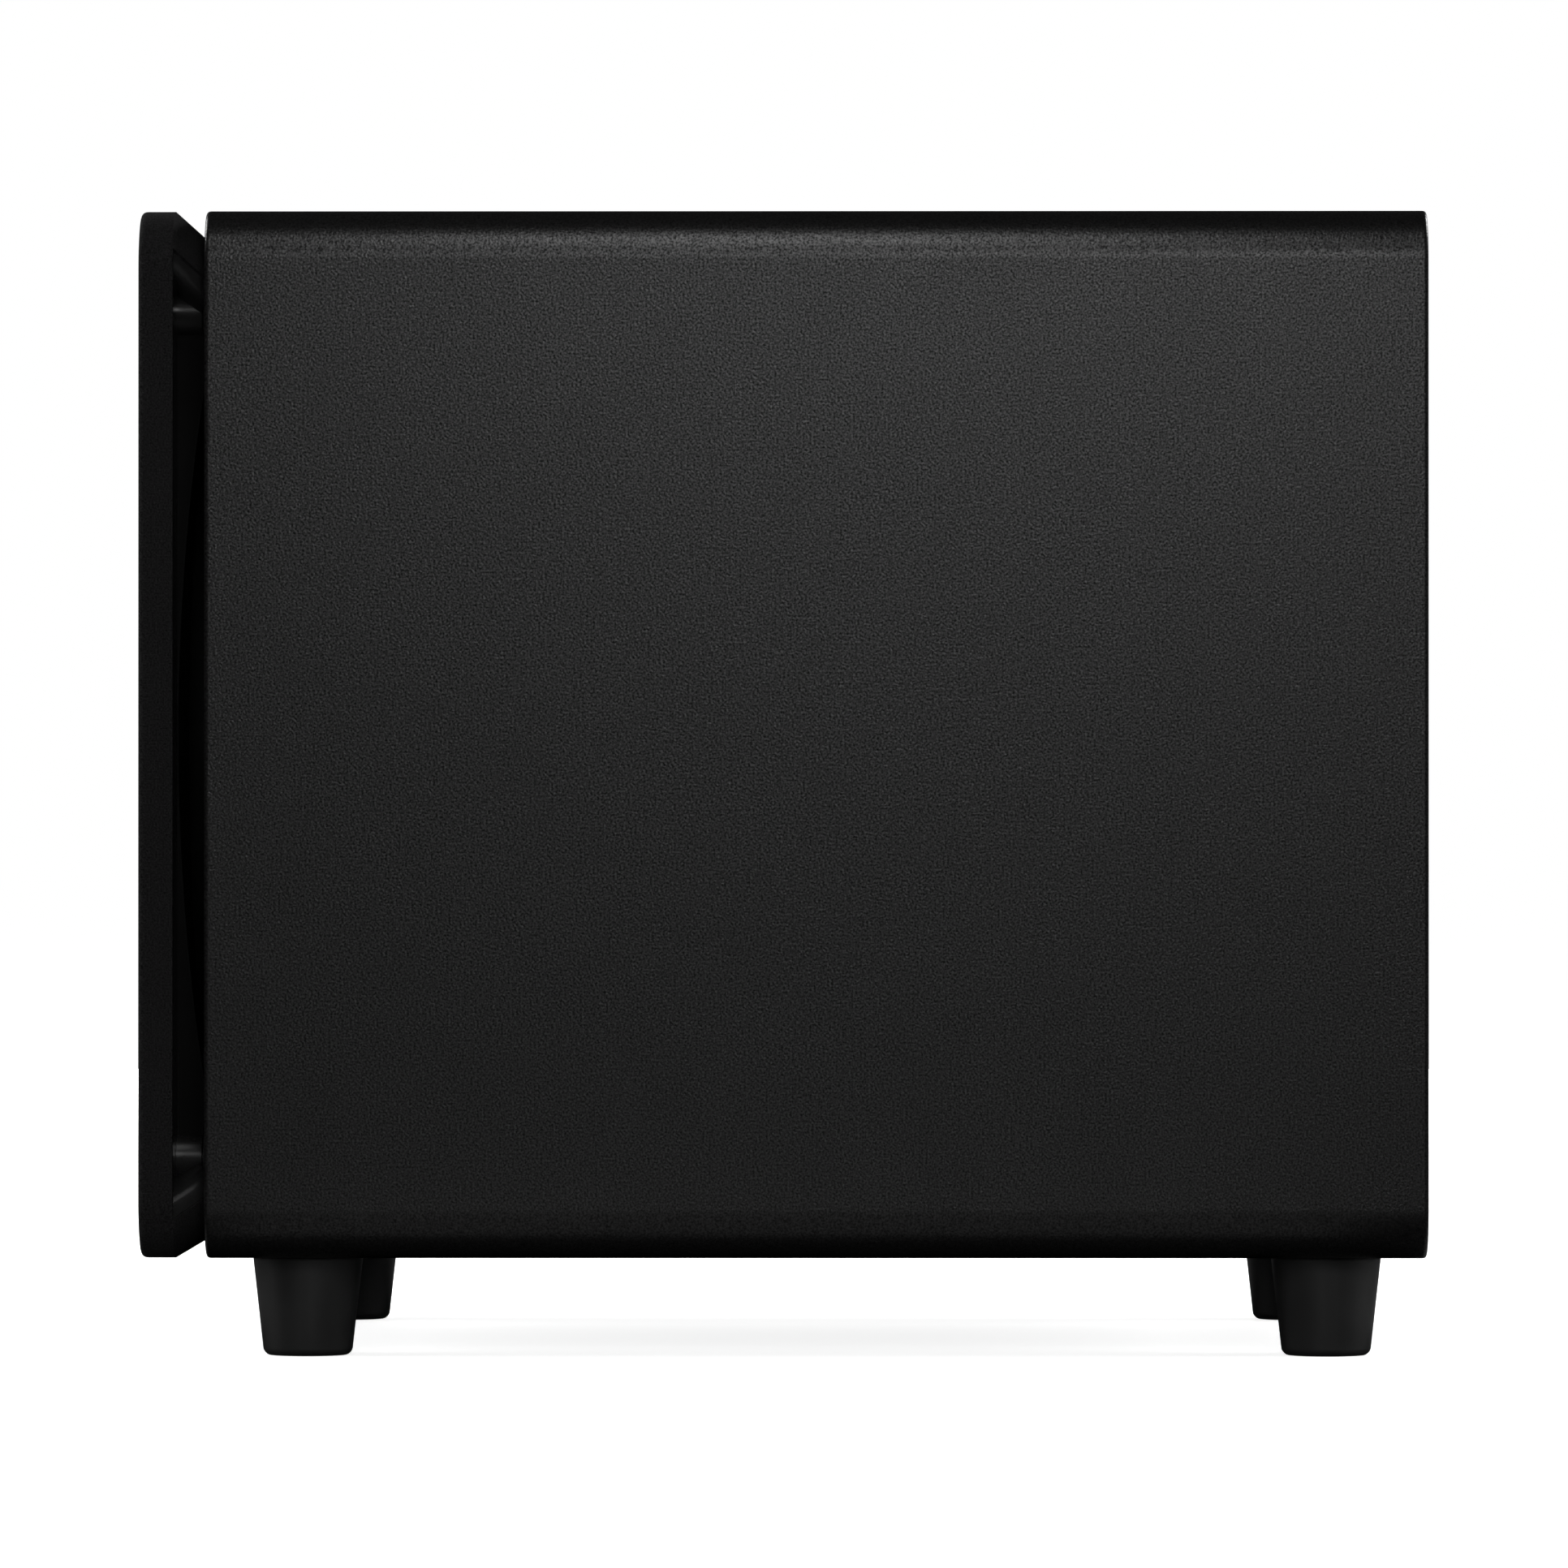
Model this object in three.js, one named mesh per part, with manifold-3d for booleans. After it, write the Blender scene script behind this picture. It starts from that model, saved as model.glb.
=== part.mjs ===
// A powered subwoofer: a round-edged cabinet on four tapered feet, a stand-off cloth grille over
// a 10-inch woofer, and an amplifier plate set into the back. Millimetres, +Z up. The grille faces
// -Y, and the origin is on the floor under the middle of the whole object.
import * as THREE from "three";
import { mergeVertices } from "three/addons/utils/BufferGeometryUtils.js";
import Module from "manifold-3d";

const wasm = await Module();
wasm.setup();

// ---------- driving dimensions ----------
const GAP = 0.3; // left between pieces that touch
const WIDTH = 350;
const DEPTH = 410; // grille face to the cabinet's back edge
const FOOT_HEIGHT = 32;
const CABINET_HEIGHT = 334;
const CABINET_DEPTH = 389;
const CORNER_RADIUS = 16; // along the cabinet's four long edges
const SHELL_WALL = 15;

const CABINET_BOTTOM = FOOT_HEIGHT;
const CABINET_TOP = FOOT_HEIGHT + CABINET_HEIGHT;
const MID_Z = (CABINET_BOTTOM + CABINET_TOP) / 2;
const CABINET_BACK = DEPTH / 2;
const CABINET_FRONT = CABINET_BACK - CABINET_DEPTH;
const INNER_HALF_WIDTH = WIDTH / 2 - SHELL_WALL - GAP;
const INNER_HALF_HEIGHT = CABINET_HEIGHT / 2 - SHELL_WALL - GAP;
const INNER_CORNER = 5;

const FOOT = { topRadius: 17.6, bottomRadius: 14.3, edge: 1.5, recessRadius: 5.5, recessDepth: 18,
  boreRadius: 2.8, boreDepth: 13, insetX: 42, insetY: 31 };
const FOOT_SCREW = { headRadius: 4.6, headHeight: 3, shank: 2.2, length: 25 };
const BRACE = { front: 10, back: 25, windowHalfWidth: 108, windowHalfHeight: 100, windowRadius: 40 };
const WADDING = { halfWidth: 140, front: 30, back: 160, height: 28 };

const GRILLE_FRONT = -DEPTH / 2;
const GRILLE = { rimDepth: 11, radius: 19, frontEdge: 2.5, cloth: 1, topTaper: 8.8, bottomTaper: 6.5,
  sideTaper: 8, skirtWall: 3, windowHalfWidth: 140, windowHalfHeight: 146, windowRadius: 18,
  webOuter: 149, webWall: 2.5, cornerDrop: 12.4, archRadius: 735,
  archHalfHeight: 124, standOff: 0.5 };
const RIM_BACK = GRILLE_FRONT + GRILLE.rimDepth;
const SKIRT_BACK = CABINET_FRONT - GRILLE.standOff;
const PEG = { x: 148, dz: 135.2, bossRadius: 7.3, radius: 4, holeRadius: 4.3, length: 24 };
const SOCKET = { flangeRadius: 10, flange: 1, outer: 7.6, hole: 8, bore: 4.4, depth: 15.5 };

const BAFFLE_THICKNESS = 22;
const WOOFER = { flangeRadius: 129, cutout: 116.5, rebateRadius: 130, rebate: 4.5, boltCircle: 123.5,
  bolts: 8, boltHole: 2.6, flangeInner: 104, ledgeRadius: 76, coneEdge: 87, neck: 26.6,
  former: 25.4, winding: 1.2, capRadius: 40, travelDepth: 42 };
const FLANGE_FRONT = CABINET_FRONT + 0.2;

const BACK_RECESS = 18; // the back panel sits this far in from the cabinet's back edge
const BACK_PANEL = 18;
const PANEL_FACE = CABINET_BACK - BACK_RECESS;
const AMP = { halfWidth: 110, halfHeight: 125, cutHalfWidth: 100, cutHalfHeight: 115, radius: 6,
  gasket: 1.5, plate: 3, screwX: 104, screwZ: 119, screwHole: 2.1 };
const PLATE_IN = PANEL_FACE + GAP + AMP.gasket + GAP;
const PLATE_OUT = PLATE_IN + AMP.plate;
// Where each control sits on the amplifier plate: x, and z from the cabinet's middle.
const PLACES = { volume: [60, 92], crossover: [14, 92], phase: [-30, 92], mode: [-72, 92],
  led: [93, 92], rcaLeft: [70, 52], rcaRight: [42, 52], inlet: [-55, -84], rocker: [-3, -84],
  transformer: [56, -50] };
const HEATSINK = { halfWidth: 78, base: 3.5, fins: 12, fin: 2.2, low: -47, height: 66, backGap: 2.5 };
const BOARD = { stand: 28, thickness: 1.6, left: -95, right: 92, low: 18, high: 108, potHalf: 8,
  potDepth: 9, canRadius: 11, canLength: 36, canPlaces: [-70, -42], canZ: 45 };
const TRANSFORMER = { hole: 11, radius: 38, thickness: 40, chamfer: 4 };
const LEAD_RADIUS = 2.6;
const KNOB = { radius: 9.5, length: 11, shaftRadius: 3, hole: 4 };
const SLIDER = { phaseSlot: 9, modeSlot: 13, slotHeight: 4.4, nub: 4.2 };
const ROCKER = { halfWidth: 5.8, halfLength: 10.2, tilt: 8, openHalfWidth: 6.3, openHalfLength: 11.2 };
const INLET = { flangeHalf: [25, 18], bodyHalf: [14, 14], depth: 22, cavityHalf: [12.2, 8.2], cavityZ: 5,
  drawerHalf: [11.5, 2.6], drawerZ: -9, drawerDepth: 17 };

const ROUND = 24; // facets of a large turned piece
const SMALL_ROUND = 12;

// ---------- materials ----------
const paint = (color, roughness, metalness = 0) =>
  new THREE.MeshStandardMaterial({ color, roughness, metalness });
const MATERIALS = {
  cabinet: paint(0x1c1b1b, 0.55),
  board: paint(0x6b5238, 0.9),
  plastic: paint(0x141414, 0.45),
  cloth: paint(0x101010, 0.95),
  rubber: paint(0x161616, 0.8),
  wadding: paint(0xd8d6cf, 1),
  cone: paint(0x1a1a1b, 0.6),
  steel: paint(0x8c8c8c, 0.35, 1),
  blackSteel: paint(0x111112, 0.4, 1),
  ferrite: paint(0x242426, 0.75),
  copper: paint(0xb5683a, 0.3, 1),
  spider: paint(0xb89a5e, 0.9),
  plate: paint(0x17181a, 0.5, 0.6),
  circuit: paint(0x1e5a36, 0.5),
  lens: paint(0x2c7be0, 0.15),
  redPlastic: paint(0xa81c1c, 0.4),
  whitePlastic: paint(0xe4e4e0, 0.4),
  nickel: paint(0xb9b4a8, 0.25, 1),
};

// ---------- geometry helpers ----------
const group = new THREE.Group();

function add(name, geometry, material) {
  const mesh = new THREE.Mesh(geometry, MATERIALS[material]);
  mesh.name = name;
  group.add(mesh);
  return mesh;
}

// A closed geometry as a manifold-3d solid.
function solid(geometry) {
  const bare = geometry.index ? geometry.toNonIndexed() : geometry.clone();
  bare.deleteAttribute("normal");
  bare.deleteAttribute("uv");
  const merged = mergeVertices(bare, 1e-3);
  return new wasm.Manifold(new wasm.Mesh({
    numProp: 3,
    vertProperties: merged.attributes.position.array,
    triVerts: new Uint32Array(merged.index.array),
  }));
}

function geometryOf(made) {
  const mesh = made.getMesh();
  const geometry = new THREE.BufferGeometry();
  geometry.setAttribute("position", new THREE.BufferAttribute(mesh.vertProperties, 3));
  geometry.setIndex(new THREE.BufferAttribute(mesh.triVerts, 1));
  geometry.computeVertexNormals();
  return geometry;
}

const cut = (from, ...tools) => tools.reduce((whole, tool) => whole.subtract(solid(tool)), from);
const join = (first, ...others) => others.reduce((whole, other) => whole.add(solid(other)), first);

function box(x0, x1, y0, y1, z0, z1) {
  const geometry = new THREE.BoxGeometry(x1 - x0, y1 - y0, z1 - z0);
  return geometry.translate((x0 + x1) / 2, (y0 + y1) / 2, (z0 + z1) / 2);
}

// A rod along Y, from y0 to y1.
function rod(radius, y0, y1, x, z, sides = SMALL_ROUND) {
  return new THREE.CylinderGeometry(radius, radius, y1 - y0, sides).translate(x, (y0 + y1) / 2, z);
}

// A rounded rectangle in the X-Z plane, centred on (cx, cz).
function roundedShape(halfX, halfZ, radius, cx = 0, cz = MID_Z, Kind = THREE.Shape) {
  const shape = new Kind();
  const [l, r, b, t] = [cx - halfX, cx + halfX, cz - halfZ, cz + halfZ];
  shape.moveTo(l + radius, b);
  shape.lineTo(r - radius, b);
  shape.absarc(r - radius, b + radius, radius, -Math.PI / 2, 0);
  shape.lineTo(r, t - radius);
  shape.absarc(r - radius, t - radius, radius, 0, Math.PI / 2);
  shape.lineTo(l + radius, t);
  shape.absarc(l + radius, t - radius, radius, Math.PI / 2, Math.PI);
  shape.lineTo(l, b + radius);
  shape.absarc(l + radius, b + radius, radius, Math.PI, 1.5 * Math.PI);
  return shape;
}

function roundHole(radius, x, z, sides = 8) {
  const points = Array.from({ length: sides }, (_, i) => {
    const angle = (-2 * Math.PI * i) / sides;
    return new THREE.Vector2(x + radius * Math.cos(angle), z + radius * Math.sin(angle));
  });
  return new THREE.Path(points);
}

// A shape in the X-Z plane drawn out along Y from y0 to y1.
function plate(shape, y0, y1, curveSegments = 6) {
  const geometry = new THREE.ExtrudeGeometry(shape, { depth: y1 - y0, bevelEnabled: false, curveSegments });
  return geometry.rotateX(Math.PI / 2).translate(0, y1, 0);
}

// A shape given as [y, z] points drawn out along X from x0 to x1.
function sideProfile(points, x0, x1) {
  const shape = new THREE.Shape(points.map(([y, z]) => new THREE.Vector2(y, z)));
  const geometry = new THREE.ExtrudeGeometry(shape, { depth: x1 - x0, bevelEnabled: false });
  // extruding along Z, then cycling the axes, puts the drawing's x on Y and its y on Z
  const cycle = new THREE.Matrix4().makeBasis(
    new THREE.Vector3(0, 1, 0), new THREE.Vector3(0, 0, 1), new THREE.Vector3(1, 0, 0));
  return geometry.applyMatrix4(cycle).translate(x0, 0, 0);
}

// [radius, y] points turned about the Y axis through (x, z). The profile closes on itself.
function turned(profile, sides = ROUND, x = 0, z = MID_Z) {
  const onAxis = profile[0][0] === 0 && profile[profile.length - 1][0] === 0;
  const points = profile.map(([r, y]) => new THREE.Vector2(r, y));
  let area = 0;
  points.forEach((p, i) => {
    const q = points[(i + 1) % points.length];
    area += p.x * q.y - q.x * p.y;
  });
  if (area < 0) points.reverse();
  if (!onAxis) points.push(points[0].clone());
  return new THREE.LatheGeometry(points, sides).translate(x, 0, z);
}

// The same, turned about a vertical axis through (x, y): [radius, height] points.
function turnedUp(profile, sides, x, y) {
  return turned(profile, sides, 0, 0).rotateX(Math.PI / 2).translate(x, y, 0);
}

// A screw along Y: its head's top at headFront, its point towards +Y.
function screw(headRadius, headHeight, shankRadius, length, headFront, x, z) {
  const under = headFront + headHeight;
  return turned([[0, headFront], [headRadius * 0.75, headFront + 0.3],
    [headRadius, headFront + headHeight * 0.6], [headRadius, under], [shankRadius, under],
    [shankRadius, under + length - 3], [0, under + length]], 10, x, z);
}

// ---------- cabinet ----------
function footPlaces() {
  const x = WIDTH / 2 - FOOT.insetX;
  const [front, rear] = [CABINET_FRONT + FOOT.insetY, CABINET_BACK - FOOT.insetY];
  return { front_left: [-x, front], front_right: [x, front], rear_left: [-x, rear], rear_right: [x, rear] };
}

function cabinetShell() {
  const outline = roundedShape(WIDTH / 2, CABINET_HEIGHT / 2, CORNER_RADIUS);
  outline.holes.push(roundedShape(WIDTH / 2 - SHELL_WALL, CABINET_HEIGHT / 2 - SHELL_WALL, INNER_CORNER, 0,
    MID_Z, THREE.Path));
  const [start, end] = [CABINET_BOTTOM - 5, CABINET_BOTTOM + FOOT.boreDepth];
  const holes = Object.values(footPlaces()).map(([x, y]) =>
    turnedUp([[0, start], [FOOT.boreRadius, start], [FOOT.boreRadius, end], [0, end]], 10, x, y));
  return geometryOf(cut(solid(plate(outline, CABINET_FRONT, CABINET_BACK)), ...holes));
}

function pegPlaces() {
  return { top_left: [-PEG.x, MID_Z + PEG.dz], top_right: [PEG.x, MID_Z + PEG.dz],
    bottom_left: [-PEG.x, MID_Z - PEG.dz], bottom_right: [PEG.x, MID_Z - PEG.dz] };
}

function boltPlaces() {
  return Array.from({ length: WOOFER.bolts }, (_, i) => {
    const angle = ((i + 0.5) * 2 * Math.PI) / WOOFER.bolts;
    return [WOOFER.boltCircle * Math.cos(angle), MID_Z + WOOFER.boltCircle * Math.sin(angle)];
  });
}

function frontBaffle() {
  const outline = roundedShape(INNER_HALF_WIDTH, INNER_HALF_HEIGHT, INNER_CORNER);
  outline.holes.push(roundHole(WOOFER.cutout, 0, MID_Z, 40));
  boltPlaces().forEach(([x, z]) => outline.holes.push(roundHole(WOOFER.boltHole, x, z)));
  Object.values(pegPlaces()).forEach(([x, z]) => outline.holes.push(roundHole(SOCKET.hole, x, z, 14)));
  const rebate = rod(WOOFER.rebateRadius, CABINET_FRONT - 5, CABINET_FRONT + WOOFER.rebate, 0, MID_Z, 32);
  const board = plate(outline, CABINET_FRONT, CABINET_FRONT + BAFFLE_THICKNESS, 5);
  return geometryOf(cut(solid(board), rebate));
}

function rearPanel() {
  const outline = roundedShape(INNER_HALF_WIDTH, INNER_HALF_HEIGHT, INNER_CORNER);
  outline.holes.push(roundedShape(AMP.cutHalfWidth, AMP.cutHalfHeight, AMP.radius, 0, MID_Z, THREE.Path));
  return plate(outline, PANEL_FACE - BACK_PANEL, PANEL_FACE, 4);
}

function windowBrace() {
  const outline = roundedShape(INNER_HALF_WIDTH, INNER_HALF_HEIGHT, INNER_CORNER);
  const { front, back, windowHalfWidth, windowHalfHeight, windowRadius } = BRACE;
  outline.holes.push(roundedShape(windowHalfWidth, windowHalfHeight, windowRadius, 0, MID_Z, THREE.Path));
  return plate(outline, front, back, 4);
}

function acousticWadding() {
  const floor = CABINET_BOTTOM + SHELL_WALL + GAP;
  const { halfWidth, front, back, height } = WADDING;
  return box(-halfWidth, halfWidth, front, back, floor, floor + height);
}

function foot(x, y) {
  const { topRadius, bottomRadius, edge, recessRadius, recessDepth, boreRadius } = FOOT;
  const top = FOOT_HEIGHT - GAP;
  return turnedUp([[recessRadius, 0], [bottomRadius - edge, 0], [bottomRadius - edge * 0.3, edge * 0.3],
    [bottomRadius, edge], [topRadius, top], [boreRadius, top], [boreRadius, recessDepth],
    [recessRadius, recessDepth]], 20, x, y);
}

function footScrew(x, y) {
  const { headRadius, headHeight, shank, length } = FOOT_SCREW;
  const seat = FOOT.recessDepth - GAP;
  const crown = seat - headHeight;
  return turnedUp([[0, crown], [headRadius - 1, crown], [headRadius, crown + headHeight / 2],
    [headRadius, seat], [shank, seat], [shank, seat + length - 3], [0, seat + length]], 10, x, y);
}

// ---------- grille ----------
// The outline of a rounded rectangle as [x, z] points, the same number for any size.
function outlinePoints(halfX, low, high, radius, steps = 5) {
  const corners = [[halfX - radius, low + radius, -90], [halfX - radius, high - radius, 0],
    [-halfX + radius, high - radius, 90], [-halfX + radius, low + radius, 180]];
  return corners.flatMap(([cx, cz, start]) => Array.from({ length: steps + 1 }, (_, i) => {
    const angle = THREE.MathUtils.degToRad(start + (90 * i) / steps);
    return [cx + radius * Math.cos(angle), cz + radius * Math.sin(angle)];
  }));
}

// A solid through rings of [x, z] points, each at its own y, from front to back.
function loft(rings) {
  const count = rings[0].points.length;
  const positions = rings.flatMap(({ y, points }) => points.flatMap(([x, z]) => [x, y, z]));
  const index = [];
  for (let ring = 0; ring + 1 < rings.length; ring++) {
    for (let i = 0; i < count; i++) {
      const [a, b] = [ring * count + i, ring * count + ((i + 1) % count)];
      index.push(a, a + count, b, b, a + count, b + count);
    }
  }
  const last = (rings.length - 1) * count;
  for (let i = 1; i + 1 < count; i++) index.push(0, i, i + 1, last, last + i + 1, last + i);
  const geometry = new THREE.BufferGeometry();
  geometry.setAttribute("position", new THREE.Float32BufferAttribute(positions, 3));
  geometry.setIndex(index);
  return geometry;
}

// The grille's outer form, shrunk by inset: a rounded front, a straight rim, and a skirt that
// narrows towards the cabinet. extra lengthens the skirt, so that a cutting tool runs past it.
function grilleForm(inset, extra = 0) {
  const { radius, frontEdge, topTaper, bottomTaper, sideTaper } = GRILLE;
  const ring = (y, trim, down = 0, up = 0, side = 0) => ({ y, points: outlinePoints(
    WIDTH / 2 - inset - trim - side, CABINET_BOTTOM + inset + trim + up,
    CABINET_TOP - inset - trim - down, radius - inset) });
  const front = GRILLE_FRONT + inset;
  const reach = 1 + extra / (SKIRT_BACK - RIM_BACK);
  return loft([ring(front, frontEdge), ring(front + frontEdge * 0.3, frontEdge * 0.3),
    ring(front + frontEdge, 0), ring(RIM_BACK, 0),
    ring(SKIRT_BACK + extra, 0, topTaper * reach, bottomTaper * reach, sideTaper * reach)]);
}

// The open stretch at each side, between the skirt's wrapped corners: everything outside the webs.
function sideOpening(sign, inner, outer) {
  const { cornerDrop, topTaper, bottomTaper } = GRILLE;
  const run = SKIRT_BACK - RIM_BACK;
  const beyond = 2;
  const grow = (run + beyond) / run;
  const points = [[RIM_BACK, CABINET_BOTTOM + cornerDrop],
    [SKIRT_BACK + beyond, CABINET_BOTTOM + cornerDrop + bottomTaper * grow],
    [SKIRT_BACK + beyond, CABINET_TOP - cornerDrop - topTaper * grow], [RIM_BACK, CABINET_TOP - cornerDrop]];
  return sign > 0 ? sideProfile(points, inner, outer) : sideProfile(points, -outer, -inner);
}

// A shallow arch that thins the webs in the middle of each side.
function webArch() {
  const { archRadius, archHalfHeight: half, webOuter } = GRILLE;
  const steps = 12;
  const points = Array.from({ length: steps + 1 }, (_, i) => {
    const dz = -half + (2 * half * i) / steps;
    return [RIM_BACK + 0.1 + (dz * dz) / (2 * archRadius), MID_Z + dz];
  });
  points.push([CABINET_FRONT + 2, MID_Z + half], [CABINET_FRONT + 2, MID_Z - half]);
  return sideProfile(points, -webOuter - 5, webOuter + 5);
}

function grilleFrame() {
  const { cloth, skirtWall, windowHalfWidth, windowHalfHeight, windowRadius, webOuter, webWall } = GRILLE;
  const inset = cloth + GAP;
  const window = plate(roundedShape(windowHalfWidth, windowHalfHeight, windowRadius),
    GRILLE_FRONT - 5, CABINET_FRONT + 5, 5);
  const hollowHalf = webOuter - webWall;
  const pocket = solid(grilleForm(inset + skirtWall, 5)).intersect(
    solid(box(-hollowHalf, hollowHalf, RIM_BACK, CABINET_FRONT + 5, CABINET_BOTTOM, CABINET_TOP)));
  const cutAway = cut(solid(grilleForm(inset)), window, sideOpening(1, webOuter, WIDTH),
    sideOpening(-1, webOuter, WIDTH), webArch()).subtract(pocket);
  const bossBack = CABINET_FRONT - GAP - SOCKET.flange - 2 * GAP;
  const places = Object.values(pegPlaces());
  const bosses = places.map(([x, z]) => rod(PEG.bossRadius, RIM_BACK - 2, bossBack, x, z, 20));
  const holes = places.map(([x, z]) => rod(PEG.holeRadius, RIM_BACK - 2, CABINET_FRONT + 5, x, z));
  const clear = places.map(([x, z]) => rod(SOCKET.flangeRadius + 1, bossBack, CABINET_FRONT + 5, x, z, 16));
  return geometryOf(cut(join(cutAway, ...bosses), ...holes, ...clear));
}

function grilleCloth() {
  const whole = solid(grilleForm(0));
  const inside = solid(grilleForm(GRILLE.cloth, 5));
  return geometryOf(cut(whole.subtract(inside), sideOpening(1, 140, WIDTH), sideOpening(-1, 140, WIDTH)));
}

function grillePeg(x, z) {
  const root = RIM_BACK - 2 + GAP;
  const tip = root + PEG.length;
  return turned([[0, root], [PEG.radius, root], [PEG.radius, tip - 6], [PEG.radius * 0.75, tip - 5],
    [PEG.radius, tip - 3.5], [PEG.radius * 0.8, tip - 1], [0, tip]], SMALL_ROUND, x, z);
}

function grilleSocket(x, z) {
  const { flangeRadius, flange, outer, bore, depth } = SOCKET;
  const face = CABINET_FRONT - GAP;
  return turned([[0, face + depth + 1.5], [outer, face + depth + 1.5], [outer, face], [flangeRadius, face],
    [flangeRadius, face - flange], [bore, face - flange], [bore, face + depth], [0, face + depth]],
  SMALL_ROUND, x, z);
}

// ---------- woofer ----------
const SPIDER_LEDGE = CABINET_FRONT + 60;
const BASKET_FLOOR = CABINET_FRONT + 75.5;
const TOP_PLATE = { front: BASKET_FLOOR + GAP, thickness: 8, inner: 30, outer: 62 };
const MAGNET = { front: TOP_PLATE.front + TOP_PLATE.thickness + GAP, thickness: 22, inner: 33, outer: 68 };
const YOKE = { front: MAGNET.front + MAGNET.thickness + GAP, thickness: 9, pole: 23.6, vent: 8, outer: 62 };

function wooferBasket() {
  const { flangeRadius, flangeInner, ledgeRadius } = WOOFER;
  const flangeBack = FLANGE_FRONT + 4;
  const frame = solid(turned([[flangeRadius, FLANGE_FRONT], [flangeRadius, flangeBack], [114, flangeBack],
    [ledgeRadius, SPIDER_LEDGE], [ledgeRadius, BASKET_FLOOR], [38, BASKET_FLOOR], [38, BASKET_FLOOR - 2.3],
    [73.5, BASKET_FLOOR - 2.3], [73.5, SPIDER_LEDGE + 2], [62, SPIDER_LEDGE + 2], [62, SPIDER_LEDGE],
    [73.7, SPIDER_LEDGE - 0.8], [111.5, flangeBack - 1.2], [flangeInner, flangeBack - 1.7],
    [flangeInner, FLANGE_FRONT]], 30));
  const windows = Array.from({ length: 6 }, (_, i) =>
    box(-22, 22, FLANGE_FRONT + 12, SPIDER_LEDGE - 7, 60, 130).rotateY((i * Math.PI) / 3)
      .translate(0, 0, MID_Z));
  const holes = boltPlaces().map(([x, z]) => rod(WOOFER.boltHole, FLANGE_FRONT - 2, flangeBack + 2, x, z, 8));
  return geometryOf(cut(frame, ...windows, ...holes));
}

const SURROUND_LIP = FLANGE_FRONT - GAP - 1.1;
// The half roll between two flat lips, as a closed band of the given thickness.
function surround() {
  const { flangeInner, coneEdge } = WOOFER;
  const centre = (flangeInner + coneEdge - 1) / 2;
  const roll = (flangeInner - coneEdge + 1) / 2;
  const thickness = 1.1;
  const steps = 6;
  const arc = (radius) => Array.from({ length: steps + 1 }, (_, i) => {
    const angle = (Math.PI * i) / steps;
    return [centre + radius * Math.cos(angle), SURROUND_LIP + thickness / 2 - radius * Math.sin(angle)];
  });
  const front = [[116, SURROUND_LIP], ...arc(roll), [80, SURROUND_LIP]];
  const back = [[80, SURROUND_LIP + thickness], ...arc(roll - thickness).reverse(),
    [116, SURROUND_LIP + thickness]];
  return turned([...front, ...back]);
}

function wooferTrimRing() {
  const back = SURROUND_LIP - GAP;
  return turned([[105.5, back], [118, back], [118, back - 1.2], [116, back - 1.8], [107, back - 1.8],
    [105.5, back - 1]]);
}

const CONE_FRONT = FLANGE_FRONT;
const CONE_NECK = CONE_FRONT + WOOFER.travelDepth;
function cone() {
  const { coneEdge, neck } = WOOFER;
  const wall = 1.2;
  return turned([[coneEdge, CONE_FRONT], [coneEdge, CONE_FRONT + wall], [80, CONE_FRONT + wall + 1.5],
    [55, CONE_FRONT + 20], [neck + wall, CONE_NECK], [neck, CONE_NECK - 1], [54, CONE_FRONT + 18.2],
    [79, CONE_FRONT]]);
}

function dustCap() {
  const { capRadius } = WOOFER;
  const seat = CONE_FRONT + 27.5;
  const dome = (radius, rise, at) => Array.from({ length: 6 }, (_, i) => {
    const angle = (Math.PI / 2) * (i / 5);
    return [radius * Math.cos(angle), at - rise * Math.sin(angle)];
  }).map(([r, y]) => [r < 1e-6 ? 0 : r, y]);
  return turned([...dome(capRadius, 15, seat).reverse(), ...dome(capRadius - 1, 14, seat)]);
}

function voiceCoilFormer() {
  const { former } = WOOFER;
  return turned([[former, CONE_NECK - 2], [former + 0.8, CONE_NECK - 2], [former + 0.8, CONE_NECK + 46],
    [former, CONE_NECK + 46]]);
}

function voiceCoil() {
  const inner = WOOFER.former + 0.8 + GAP;
  return turned([[inner, CONE_NECK + 26], [inner + WOOFER.winding, CONE_NECK + 26],
    [inner + WOOFER.winding, CONE_NECK + 45], [inner, CONE_NECK + 45]]);
}

// The corrugated centring disc between the former and the basket's ledge.
function spider() {
  const inner = WOOFER.former + 0.8 + GAP;
  const outer = 72;
  const face = SPIDER_LEDGE - GAP - 3;
  const folds = 7;
  const wave = (offset) => Array.from({ length: folds + 1 }, (_, i) =>
    [inner + 3 + ((61 - inner - 3) * i) / folds, face + offset + (i % 2 ? 1.5 : -1.5)]);
  const front = [[inner, face], ...wave(0), [outer - 2, face]];
  const back = [[outer - 2, face + 0.9], ...wave(0.9).reverse(), [inner, face + 0.9]];
  return turned([...front, ...back]);
}

function topPlate() {
  const { front, thickness, inner, outer } = TOP_PLATE;
  return turned([[inner, front], [outer, front], [outer, front + thickness], [inner, front + thickness]]);
}

function magnetRing() {
  const { front, thickness, inner, outer } = MAGNET;
  return turned([[inner, front], [outer - 1, front], [outer, front + 1], [outer, front + thickness - 1],
    [outer - 1, front + thickness], [inner, front + thickness]]);
}

function poleYoke() {
  const { front, thickness, pole, vent, outer } = YOKE;
  const poleTip = TOP_PLATE.front - 1;
  return turned([[vent, poleTip], [pole, poleTip], [pole, front], [outer, front],
    [outer - 3, front + thickness], [vent + 4, front + thickness], [vent, front + thickness - 3]]);
}

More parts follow.
